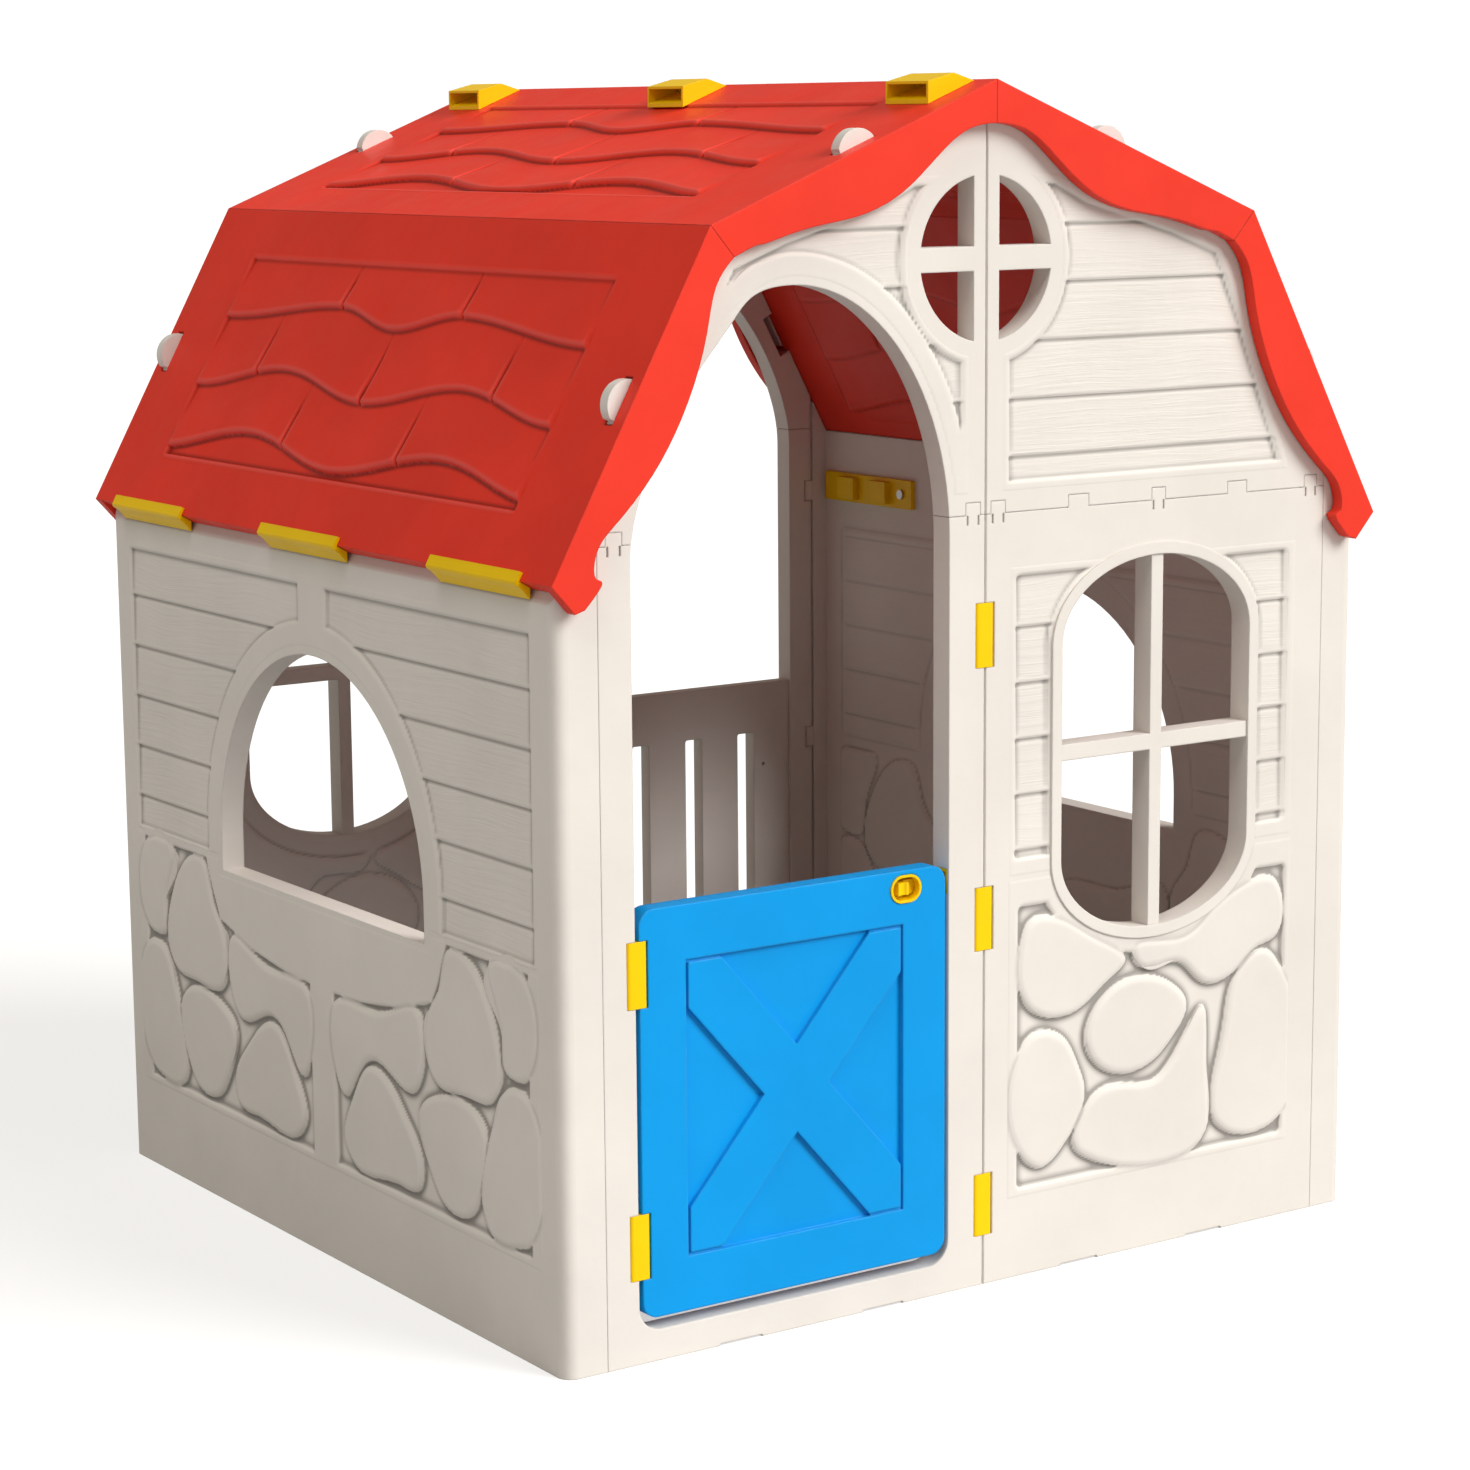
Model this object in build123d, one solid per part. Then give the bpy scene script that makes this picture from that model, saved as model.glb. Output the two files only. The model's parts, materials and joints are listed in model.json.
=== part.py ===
from build123d import *
import math
import os

# A foldable cottage playhouse for small children, in millimetres.
# +Z is up, the front faces -Y, and the origin is on the floor at the centre.
# The front and the back are each two hinged halves that fold inwards like a
# concertina, so the two side walls come together once the roof is lifted off.

# ---- overall sizes ----
WIDTH = 960.0            # over the outer faces of the side walls
DEPTH = 916.0            # over the outer faces of the front and back
RIDGE_Z = 1165.0         # top of the roof
SEAM_Z = 759.0           # top edge of the lower panels
PANEL_T = 25.0           # thickness of the front and back panels and gables
SIDE_T = 25.0            # thickness of the side walls
POST_W = 45.0            # width of a corner post seen from the front
POST_R = 14.0            # rounding of the outer corner of a post
ROOF_T = 18.0            # thickness of a roof panel
ROOF_OVERHANG = 15.0     # roof beyond the front and back faces
BOARD_T = 13.6           # thickness of a bargeboard
SEAM_GAP = 0.4           # gap between two pieces that meet at a seam
ROOF_GAP = 1.0           # gap between the roof and the walls

HALF_W = WIDTH / 2
HALF_D = DEPTH / 2
KNEE_X = 0.3344 * WIDTH
KNEE_Z = SEAM_Z + 0.687 * (RIDGE_Z - SEAM_Z)
EAVE_X = HALF_W + 11.0
EAVE_Z = SEAM_Z - 29.0
ROOF_Y = HALF_D + ROOF_OVERHANG
PANEL_X = HALF_W - POST_W        # seam between a post and a panel

# ---- hinges of the walls ----
BARREL_R = 6.0           # rounded inner edge of a panel, round the corner rod
ROD_R = 3.0
RUN_FIT = 0.05           # radial clearance of a pin in its hole
CORNER_X = PANEL_X - BARREL_R
CORNER_Y = HALF_D - PANEL_T + BARREL_R
EAR_H = 24.0
EAR_Z = [0.095 * SEAM_Z, 0.5 * SEAM_Z, 0.9 * SEAM_Z]
PLATE_W = 22.0           # folding hinge plate with a pivot along each long edge
PLATE_H = 62.0
PLATE_T = 8.0
PIVOT_X = PLATE_W / 2 - PLATE_T / 2
PLATE_PROUD = 0.4
PIVOT_Y = HALF_D + PLATE_PROUD - PLATE_T / 2
STUB_R = 2.0
STUB_L = 4.5
PLATE_GAP = 0.6          # play round a plate in its pocket
FOLD_PLATE_Z = [0.107 * SEAM_Z, 0.484 * SEAM_Z, 0.848 * SEAM_Z]
DOOR_PLATE_Z = [0.147 * SEAM_Z, 0.484 * SEAM_Z]

# ---- doorway ----
JAMB_OUTER = 35.0        # jamb beside the corner post
JAMB_INNER = 43.0        # jamb beside the centre seam
SILL_H = 30.0
SILL_R = 24.0
DOOR_X0 = PANEL_X - JAMB_OUTER
ARCH_CX = (DOOR_X0 + JAMB_INNER) / 2
ARCH_A = (DOOR_X0 - JAMB_INNER) / 2
ARCH_Z = SEAM_Z - 19.0
ARCH_B = 242.0           # rise of the arch above its springing line
HAUNCH_LOW = 56.0        # depth of the arch's haunch below the lower slope
HAUNCH_KNEE = 92.0       # and below the upper slope, at the knee

# ---- half door ----
DOOR_GAP = 4.5
DOOR_T = 20.0
DOOR_Z0 = 42.0
DOOR_Z1 = 427.0
DOOR_R = 16.0
BRACE_MARGIN_X = 50.0
BRACE_MARGIN_Z = 52.0
BRACE_DEPTH = 5.0
BRACE_W = 56.0
LATCH_DROP = 18.0        # latch centre below the door's top edge
LATCH_IN = 47.0          # latch centre in from the door's free edge
LATCH_W = 36.0
LATCH_H = 27.0
LATCH_TRAVEL = 8.0

# ---- cross-barred window ----
WIN_CX = PANEL_X * 0.494
WIN_A = 121.0            # half the window's width
WIN_Z0 = 333.0
WIN_Z1 = 706.0
WIN_END = 0.66 * WIN_A   # height of each elliptical end
WIN_RIM = 12.0
WIN_PROUD = 2.0
BAR_V = 15.0
BAR_H = 16.0

# ---- round window in the gables ----
ROUND_Z = SEAM_Z + 0.593 * (RIDGE_Z - SEAM_Z)
ROUND_R = 78.0
ROUND_RIM = 19.0
ROUND_BAR_V = 15.0
ROUND_BAR_H = 23.0

# ---- side window ----
SIDE_WIN_R = 213.0
SIDE_WIN_Z0 = 362.0
SIDE_WIN_ZC = 400.0
SIDE_WIN_RIM = 30.0

# ---- relief ----
RELIEF = 4.0             # depth of the siding fields and of the channels between stones
GROOVE_W = 3.0
GROOVE_D = 1.5
BOARD_PITCH = 54.7

# ---- roof fittings ----
WHEEL_R = 23.0
WHEEL_T = 12.0
WHEEL_SINK = 8.0         # wheel centre below the roof surface
WHEEL_FLAT = 12.0
WHEEL_HUB_R = 3.0
WHEEL_Y = HALF_D - 7.5
WHEEL_S = [0.466, 0.492]     # place down the upper and the lower slope
SHINGLE_DEPTH = 4.0
SHINGLE_T = 1.2
EAVE_CLIP_L = 160.0
EAVE_CLIP_Y = 0.371 * DEPTH
RIDGE_CLIP_W = 66.0
RIDGE_CLIP_L = 58.0
RIDGE_CLIP_H = 21.0
RIDGE_CLIP_Y = 0.448 * DEPTH


def block(x0, x1, y0, y1, z0, z1):
    """A box between two corners."""
    size = (x1 - x0, y1 - y0, z1 - z0)
    return Pos((x0 + x1) / 2, (y0 + y1) / 2, (z0 + z1) / 2) * Box(*size)


def slab_y(sketch, y0, y1):
    """A sketch drawn in X and Z, as a slab from y0 to y1."""
    plane = Plane(origin=(0, y1, 0), x_dir=(1, 0, 0), z_dir=(0, -1, 0))
    return extrude(plane * sketch, amount=y1 - y0)


def slab_x(sketch, x0, x1):
    """A sketch drawn in Y and Z, as a slab from x0 to x1."""
    plane = Plane(origin=(x0, 0, 0), x_dir=(0, 1, 0), z_dir=(1, 0, 0))
    return extrude(plane * sketch, amount=x1 - x0)


def rod(x, y, z0, z1, radius):
    """An upright round bar."""
    return Pos(x, y, (z0 + z1) / 2) * Cylinder(radius, z1 - z0)


def poly(points):
    """A filled outline with straight sides."""
    return make_face(Polyline(*points, close=True))


def blob(points):
    """A filled outline with one smooth closed curve through its points."""
    return make_face(Spline(*points, periodic=True))


def turned(shape):
    """The same shape half a turn about the upright axis."""
    return Rot(0, 0, 180) * shape


def mirrored(shape):
    """The mirror image from left to right."""
    return mirror(shape, about=Plane.YZ)


# ---- roof lines ----
UP_LEN = math.hypot(KNEE_X, RIDGE_Z - KNEE_Z)
LOW_LEN = math.hypot(EAVE_X - KNEE_X, KNEE_Z - EAVE_Z)
UP_DIR = (KNEE_X / UP_LEN, (KNEE_Z - RIDGE_Z) / UP_LEN)
LOW_DIR = ((EAVE_X - KNEE_X) / LOW_LEN, (EAVE_Z - KNEE_Z) / LOW_LEN)


def under_roof(x, depth):
    """Height of the line that lies a given depth below the roof surface."""
    x = abs(x)
    upper = RIDGE_Z + x * UP_DIR[1] / UP_DIR[0] - depth / UP_DIR[0]
    lower = KNEE_Z + (x - KNEE_X) * LOW_DIR[1] / LOW_DIR[0] - depth / LOW_DIR[0]
    return min(upper, lower)


def knee_at(depth):
    """Where the two slopes meet at a given depth below the roof surface."""
    slope_up = UP_DIR[1] / UP_DIR[0]
    slope_low = LOW_DIR[1] / LOW_DIR[0]
    top = RIDGE_Z - depth / UP_DIR[0]
    low = KNEE_Z - KNEE_X * slope_low - depth / LOW_DIR[0]
    x = (low - top) / (slope_up - slope_low)
    return x, top + slope_up * x


def slope_point(start, direction, along, depth):
    """A point along a slope and below its surface, as X and Z."""
    x = start[0] + along * direction[0] + depth * direction[1]
    z = start[1] + along * direction[1] - depth * direction[0]
    return x, z


RIDGE = (0.0, RIDGE_Z)
KNEE = (KNEE_X, KNEE_Z)


def upper_at(along, depth):
    return slope_point(RIDGE, UP_DIR, along, depth)


def lower_at(along, depth):
    return slope_point(KNEE, LOW_DIR, along, depth)


WHEEL_SPOTS = [
    ("upper", upper_at(WHEEL_S[0] * UP_LEN, WHEEL_SINK), UP_DIR),
    ("lower", lower_at(WHEEL_S[1] * LOW_LEN, WHEEL_SINK), LOW_DIR),
]


def tilt_of(direction):
    """Turn about Y that lays a level shape along a slope."""
    return math.degrees(math.atan2(-direction[1], direction[0]))


# ---- folding hinge plates ----
def hinge_plate(x, z):
    """A flat plate with a round edge along each pivot and four end stubs, at the front."""
    centre = Location((x, -PIVOT_Y, z))
    body = extrude(SlotOverall(PLATE_W, PLATE_T), amount=PLATE_H / 2, both=True)
    for side in (-1, 1):
        pin = Cylinder(STUB_R, PLATE_H + 2 * STUB_L)
        body += Pos(side * PIVOT_X, 0, 0) * pin
    return centre * body


def plate_pocket(x, z):
    """The room cut out for a hinge plate and its stubs, at the front."""
    reach = PLATE_W / 2 + PLATE_GAP
    y_floor = -PIVOT_Y + PLATE_T / 2 + PLATE_GAP
    height = PLATE_H / 2 + PLATE_GAP / 2
    pocket = block(x - reach, x + reach, -HALF_D - 5, y_floor, z - height, z + height)
    for side in (-1, 1):
        hole = STUB_R + RUN_FIT
        ends = height + STUB_L + 0.5
        pocket += rod(x + side * PIVOT_X, -PIVOT_Y, z - ends, z + ends, hole)
    return pocket


def seam_rounding(x, side, z0, z1):
    """What is cut off an outer edge beside a hinge plate, so it can swing."""
    pivot = x + side * PIVOT_X
    lip = PIVOT_X - 0.3
    if side < 0:
        corner = block(pivot + 1, x + 1, -HALF_D - 1, -PIVOT_Y, z0, z1)
    else:
        corner = block(x - 1, pivot - 1, -HALF_D - 1, -PIVOT_Y, z0, z1)
    return corner - rod(pivot, -PIVOT_Y, z0 - 1, z1 + 1, lip)


def corner_rounding(z0, z1):
    """What is cut off the inner edge of a left front panel, round the corner rod."""
    corner = block(-PANEL_X - 1, -CORNER_X, -CORNER_Y, -HALF_D + PANEL_T + 1, z0, z1)
    return corner - rod(-CORNER_X, -CORNER_Y, z0 - 1, z1 + 1, BARREL_R)


def ear_notches():
    """Room for the ears of the side wall in a left front panel, and the rod's hole."""
    cut = rod(-CORNER_X, -CORNER_Y, 19.0, SEAM_Z + 1, ROD_R + RUN_FIT)
    reach = BARREL_R + 0.6
    for z in EAR_Z:
        low, high = z - EAR_H / 2 - 0.6, z + EAR_H / 2 + 0.6
        cut += block(
            -PANEL_X - 1, -CORNER_X + reach, -CORNER_Y - reach, -HALF_D + PANEL_T + 1, low, high
        )
    return cut


def ears():
    """The side wall's ears at the left front corner, bored for the rod."""
    made = []
    radius = BARREL_R - 1.0
    for z in EAR_Z:
        low, high = z - EAR_H / 2, z + EAR_H / 2
        ear = block(-PANEL_X - 4, -CORNER_X, -CORNER_Y - radius, -CORNER_Y + radius, low, high)
        ear += rod(-CORNER_X, -CORNER_Y, low, high, radius)
        ear -= rod(-CORNER_X, -CORNER_Y, low - 1, high + 1, ROD_R + RUN_FIT)
        made.append(ear)
    return made


def corner_rod():
    return rod(-CORNER_X, -CORNER_Y, 20.0, SEAM_Z - 14.0, ROD_R)


# ---- seam tabs between a lower panel and its gable ----
LOCK_TAB_W = 17.0
TAB_H = 12.0
ROUND_TAB_W = 25.0
TAB_T = 8.0
SLOT_W = 2.0
SLOT_H = 9.0
DOOR_TABS = [(0.982 * PANEL_X - 10.0, LOCK_TAB_W), (15.0, LOCK_TAB_W)]
WINDOW_TABS = [
    (15.0, LOCK_TAB_W),
    (0.262 * PANEL_X, ROUND_TAB_W),
    (0.495 * PANEL_X, LOCK_TAB_W),
    (0.731 * PANEL_X, ROUND_TAB_W),
    (0.982 * PANEL_X - 10.0, LOCK_TAB_W),
]


def seam_tab(x, width, play):
    """One tab standing above the seam, at the outer face."""
    half = width / 2 + play
    inner = -HALF_D + TAB_T + play
    return block(x - half, x + half, -HALF_D, inner, SEAM_Z - 2, SEAM_Z + TAB_H + play)


def tab_slots(x, width):
    """Two short slots beside a locking tab, in the lower panel."""
    cut = []
    for side in (-1, 1):
        mid = x + side * (width / 2 - SLOT_W)
        near, far = mid - SLOT_W / 2, mid + SLOT_W / 2
        cut.append(block(near, far, -HALF_D - 1, -HALF_D + TAB_T / 2, SEAM_Z - SLOT_H, SEAM_Z))
    return cut


def add_tabs(panel, tabs, side):
    for x, width in tabs:
        panel += seam_tab(side * x, width, 0)
        if width == LOCK_TAB_W:
            for slot in tab_slots(side * x, width):
                panel -= slot
    return panel


# ---- outlines ----
def door_arch(extra=0.0):
    """The arched doorway of the left front half, in X and Z."""
    a, b = ARCH_A + extra, ARCH_B + extra
    legs = Pos(-ARCH_CX, (SILL_H + ARCH_Z) / 2) * RectangleRounded(2 * a, ARCH_Z - SILL_H, SILL_R)
    square = Pos(-ARCH_CX, ARCH_Z - 60) * Rectangle(2 * a, 120)
    round_side = Pos(-ARCH_CX, ARCH_Z) * Ellipse(a, b)
    round_side -= Pos(-ARCH_CX - a, ARCH_Z) * Rectangle(2 * a, 3 * b)
    return legs + square + round_side + haunch(a, b, extra)


def haunch(a, b, extra):
    """The outer half of the arch, which runs beside the roof's lower slope before it turns over."""
    beside = [
        lower_at(0.69 * LOW_LEN, HAUNCH_LOW - extra),
        lower_at(0.40 * LOW_LEN, HAUNCH_LOW - 2.0 - extra),
        upper_at(UP_LEN, HAUNCH_KNEE - extra),
    ]
    start, top = (-ARCH_CX - a, ARCH_Z), (-ARCH_CX, ARCH_Z + b)
    curve = Spline(start, *[(-x, z) for x, z in beside], top, tangents=[(0, 1), (1, 0)])
    return make_face(curve + Polyline(top, (-ARCH_CX, ARCH_Z - 1), (start[0], ARCH_Z - 1), start))


def window_shape(extra=0.0):
    """The window opening of the right front half: straight sides, elliptical ends."""
    a, b = WIN_A + extra, WIN_END + extra
    low, high = WIN_Z0 + WIN_END, WIN_Z1 - WIN_END
    shape = Pos(WIN_CX, (low + high) / 2) * Rectangle(2 * a, high - low)
    shape += Pos(WIN_CX, low) * Ellipse(a, b)
    shape += Pos(WIN_CX, high) * Ellipse(a, b)
    return shape


def side_window(extra=0.0):
    """The side window: a flat sill under a round arch, in Y and Z."""
    radius = SIDE_WIN_R + extra
    bottom = SIDE_WIN_Z0 - 0.5 * extra
    arch = Pos(0, SIDE_WIN_ZC) * Circle(radius)
    arch += Pos(0, (bottom + SIDE_WIN_ZC) / 2) * Rectangle(2 * radius, SIDE_WIN_ZC - bottom)
    below = Pos(0, bottom - radius) * Rectangle(4 * radius, 2 * radius)
    return arch - below


def gable_outline(x0, x1):
    """Half a gable from the centre seam to the post, following the roof."""
    depth = ROOF_T + ROOF_GAP
    knee = knee_at(depth)
    low = SEAM_Z + SEAM_GAP
    points = [(x0, low), (x1, low), (x1, under_roof(x1, depth)), knee, (x0, under_roof(x0, depth))]
    return poly(points)


def board_lines(z_low, z_high):
    """Heights of the siding lines in a field."""
    lines = []
    z = z_high - BOARD_PITCH
    while z > z_low + 8:
        lines.append(z)
        z -= BOARD_PITCH
    return lines


# ---- stone outlines, each a few points across and up from the block's inner corner ----
SIDE_STONES = [
    [
        (30, 270), (80, 276), (140, 282), (196, 294), (200, 232),
        (182, 211), (118, 226), (88, 219), (42, 178), (28, 196),
    ],
    [
        (220, 300), (238, 322), (257, 364), (287, 365), (312, 350),
        (340, 310), (349, 255), (330, 234), (290, 230), (222, 236),
    ],
    [
        (332, 364), (398, 364), (398, 270),
        (380, 265), (359, 270), (354, 304),
    ],
    [
        (108, 219), (125, 215), (170, 180), (198, 140), (192, 118),
        (150, 112), (56, 114), (43, 130), (58, 172),
    ],
    [
        (198, 198), (228, 216), (280, 224), (320, 204),
        (308, 136), (288, 114), (240, 114), (214, 142),
    ],
    [
        (362, 252), (396, 254), (396, 112), (378, 106),
        (324, 110), (314, 128), (334, 210),
    ],
]
WINDOW_STONES = [
    [
        (48, 283), (48, 342), (59, 357), (97, 354), (139, 330),
        (178, 300), (157, 285), (117, 260), (60, 268),
    ],
    [
        (190, 309), (249, 315), (292, 338), (332, 358), (378, 358), (379, 299),
        (356, 292), (324, 270), (281, 266), (249, 291), (194, 298),
    ],
    [
        (365, 287), (381, 275), (384, 104), (311, 107),
        (299, 120), (303, 176), (314, 223), (326, 264),
    ],
    [
        (281, 238), (288, 178), (288, 108), (130, 108),
        (117, 119), (147, 172), (214, 171), (257, 210),
    ],
    [
        (158, 272), (194, 282), (243, 266), (260, 245),
        (244, 216), (214, 192), (150, 196), (130, 227),
    ],
    [
        (49, 233), (61, 242), (99, 234), (118, 204),
        (127, 179), (103, 127), (71, 107), (49, 121),
    ],
]
STONE_BASE = 99.0
FIELD_Z = 376.0          # top of the stones, bottom of the side wall's siding
SIDING_TOP = SEAM_Z - 74.4


def scaled(points, sx, sz):
    return [(x * sx, z * sz) for x, z in points]


# ---- lower panels ----
def lower_blank(side):
    """A plain lower half panel, left (-1) or right (+1), with its edges rounded to fold."""
    near, far = SEAM_GAP / 2, PANEL_X - SEAM_GAP / 2
    x0, x1 = (-far, -near) if side < 0 else (near, far)
    return block(x0, x1, -HALF_D, -HALF_D + PANEL_T, 0, SEAM_Z)


def fold_cuts(side, z0, z1):
    """Everything cut from a half wall so it can fold: seam, corner, plates, ears."""
    cuts = [seam_rounding(0, side, z0 - 1, z1 + 1)]
    corner = corner_rounding(z0 - 1, z1 + 1)
    notches = ear_notches()
    cuts.append(corner if side < 0 else mirrored(corner))
    cuts.append(notches if side < 0 else mirrored(notches))
    for z in FOLD_PLATE_Z:
        cuts.append(plate_pocket(0, z))
    return cuts


def foot_slots(side):
    """Shallow slots along the bottom edge."""
    return [
        block(side * x - 24, side * x + 24, -HALF_D - 1, -HALF_D + 5, -1, 2.0)
        for x in (0.28 * PANEL_X, 0.66 * PANEL_X)
    ]


def arch_panel():
    """The left front lower half, with the doorway."""
    panel = lower_blank(-1) - slab_y(door_arch(), -HALF_D - 1, -HALF_D + PANEL_T + 1)
    panel = add_tabs(panel, DOOR_TABS, -1)
    for cut in fold_cuts(-1, 0, SEAM_Z) + foot_slots(-1):
        panel -= cut
    return panel


def doorway_fittings(panel):
    """Pockets for the door's hinge plates and the latch keeper's recess."""
    for z in DOOR_PLATE_Z:
        panel -= plate_pocket(-DOOR_HINGE_X, z)
    keep = keeper_box(0.3)
    return panel - keep


DOOR_HINGE_X = DOOR_X0 - DOOR_GAP / 2
LATCH_Z = DOOR_Z1 - LATCH_DROP
DOOR_FREE_X = -JAMB_INNER - DOOR_GAP
LATCH_X = DOOR_FREE_X - LATCH_IN
LATCH_Y = -HALF_D + 10.0


def keeper_box(extra):
    """The keeper let into the inner jamb behind the door's face."""
    return block(
        -JAMB_INNER - 0.01, -JAMB_INNER + 12 + extra,
        LATCH_Y - 7 - extra, LATCH_Y + 7 + extra,
        LATCH_Z - 12 - extra, LATCH_Z + 12 + extra,
    )


def keeper():
    """A small box let into the jamb, open towards the door for the latch's tongue."""
    x, y, z = -JAMB_INNER, LATCH_Y, LATCH_Z
    shell = block(x, x + 12, y - 7, y + 7, z - 12, z + 12)
    mouth = block(x - 1, x + 9.5, y - 4.5, y + 4.5, z - 9, z + 9)
    return shell - mouth


def window_panel():
    """The right front lower half, with the barred window, siding and stones."""
    y = -HALF_D
    panel = lower_blank(1)
    left, right = 35.0, PANEL_X - 46.0
    field_top = SEAM_Z - 58.0
    siding = Pos((left + right) / 2, (FIELD_Z + 42 + field_top) / 2) * RectangleRounded(
        right - left, field_top - FIELD_Z - 42, 8
    )
    siding -= window_shape(WIN_RIM)
    panel -= slab_y(siding, y - 1, y + RELIEF)
    for z in board_lines(FIELD_Z + 42, field_top):
        line = Pos((left + right) / 2, z) * Rectangle(right - left, GROOVE_W) - window_shape(WIN_RIM)
        panel -= slab_y(line, y - 1, y + RELIEF + GROOVE_D)
    stones = Pos((left + right) / 2 + 5, (STONE_BASE - 12 + FIELD_Z) / 2) * RectangleRounded(
        right - left, FIELD_Z - STONE_BASE + 12, 8
    )
    stones -= window_shape(WIN_RIM + 12)
    panel -= slab_y(stones, y - 1, y + RELIEF)
    sx, sz = PANEL_X / 435.0, SEAM_Z / 759.0
    for outline in WINDOW_STONES:
        panel += slab_y(blob(scaled(outline, sx, sz)), y, y + RELIEF + 1)
    rim = window_shape(WIN_RIM) - window_shape()
    panel += slab_y(rim, y - WIN_PROUD, y + 5)
    panel -= slab_y(window_shape(), y - 5, y + PANEL_T + 1)
    panel = add_tabs(panel, WINDOW_TABS, 1)
    for cut in fold_cuts(1, 0, SEAM_Z) + foot_slots(1):
        panel -= cut
    return panel


def window_bars():
    """The crossed bars across the window's opening, flush with both faces of the panel."""
    cross = Pos(WIN_CX, SEAM_Z / 2) * Rectangle(BAR_V, SEAM_Z)
    cross += Pos(WIN_CX, (WIN_Z0 + WIN_Z1) / 2) * Rectangle(3 * WIN_A, BAR_H)
    return slab_y(cross & window_shape(), -HALF_D, -HALF_D + PANEL_T)


# ---- gables ----
def wheel_notches(side):
    """Room for the lock wheels in the top edge of a gable."""
    cuts = []
    for _, (x, z), direction in WHEEL_SPOTS:
        room = Rot(0, tilt_of(direction), 0) * Box(2 * WHEEL_R + 6, PANEL_T + 4, 2 * WHEEL_R + 5)
        spot = Pos(x, -HALF_D + PANEL_T / 2, z) * room
        cuts.append(spot if side > 0 else mirrored(spot))
    return cuts


def gable(side, tabs):
    """One half of the front gable, left (-1) or right (+1)."""
    y0, y1 = -HALF_D, -HALF_D + PANEL_T
    near, far = SEAM_GAP / 2, PANEL_X - SEAM_GAP / 2
    outline = gable_outline(near, far)
    field_low = SEAM_Z + 27.0
    inner = poly([
        (26.0, field_low),
        (far - 58, field_low),
        (far - 62, field_low + 12),
        (KNEE_X - 2, KNEE_Z - 103),
        (KNEE_X - 32, KNEE_Z - 38),
        (0.24 * WIDTH, KNEE_Z - 16),
        (0.13 * WIDTH, KNEE_Z + 14),
        (84.0, KNEE_Z + 33),
        (26.0, KNEE_Z + 33),
    ])
    ring = Pos(0, ROUND_Z) * Circle(ROUND_R + ROUND_RIM)
    body = slab_y(outline, y0, y1)
    inner -= ring
    body -= slab_y(inner, y0 - 1, y0 + RELIEF)
    for z in board_lines(field_low, KNEE_Z + 46):
        line = (Pos(HALF_W / 2, z) * Rectangle(HALF_W, GROOVE_W)) & inner
        if line.area > 100:
            body -= slab_y(line, y0 - 1, y0 + RELIEF + GROOVE_D)
    hole = Pos(0, ROUND_Z) * Circle(ROUND_R)
    hole -= Pos(0, ROUND_Z) * Rectangle(2 * ROUND_BAR_V, 4 * ROUND_R)
    hole -= Pos(0, ROUND_Z) * Rectangle(4 * ROUND_R, ROUND_BAR_H)
    body -= slab_y(hole, y0 - 1, y1 + 1)
    if side < 0:
        body = mirrored(body)
        body += slab_y(door_arch(26) & arch_band(), y0, y0 + RELIEF + 1)
        body -= slab_y(door_arch(), y0 - 1, y1 + 1)
    for x, width in tabs:
        body -= seam_tab(side * x, width, SEAM_GAP)
    for cut in wheel_notches(side):
        body -= cut
    body -= seam_rounding(0, side, SEAM_Z - 1, RIDGE_Z)
    corner = corner_rounding(SEAM_Z - 1, RIDGE_Z)
    body -= corner if side < 0 else mirrored(corner)
    return body


def arch_band():
    """The left gable's own outline, kept in from its edges."""
    far = PANEL_X - SEAM_GAP / 2
    return mirror(gable_outline(SEAM_GAP / 2, far), about=Plane.YZ)


# ---- side walls ----
def side_wall():
    """The left side wall with both of its corner posts."""
    top = SEAM_Z + 60
    inner = HALF_W - SIDE_T
    post = PANEL_X + SEAM_GAP / 2
    wall = block(-HALF_W, -inner, -HALF_D, HALF_D, 0, top)
    wall += block(-HALF_W, -post, -HALF_D, -HALF_D + PANEL_T, 0, top)
    wall += block(-HALF_W, -post, HALF_D - PANEL_T, HALF_D, 0, top)
    outer = wall.edges().filter_by(Axis.Z).filter_by(lambda e: e.center().X < -HALF_W + 0.1)
    wall = fillet(outer, POST_R)
    depth = ROOF_T + ROOF_GAP
    above = poly([
        (-HALF_W - 5, under_roof(HALF_W + 5, depth)),
        (-PANEL_X + 20, under_roof(PANEL_X - 20, depth)),
        (-PANEL_X + 20, RIDGE_Z),
        (-HALF_W - 5, RIDGE_Z),
    ])
    wall -= slab_y(above, -HALF_D - 1, HALF_D + 1)
    wall = side_relief(wall)
    front_ears = ears()
    for ear in front_ears + [mirror(e, about=Plane.XZ) for e in front_ears]:
        wall += ear
    return wall


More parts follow.
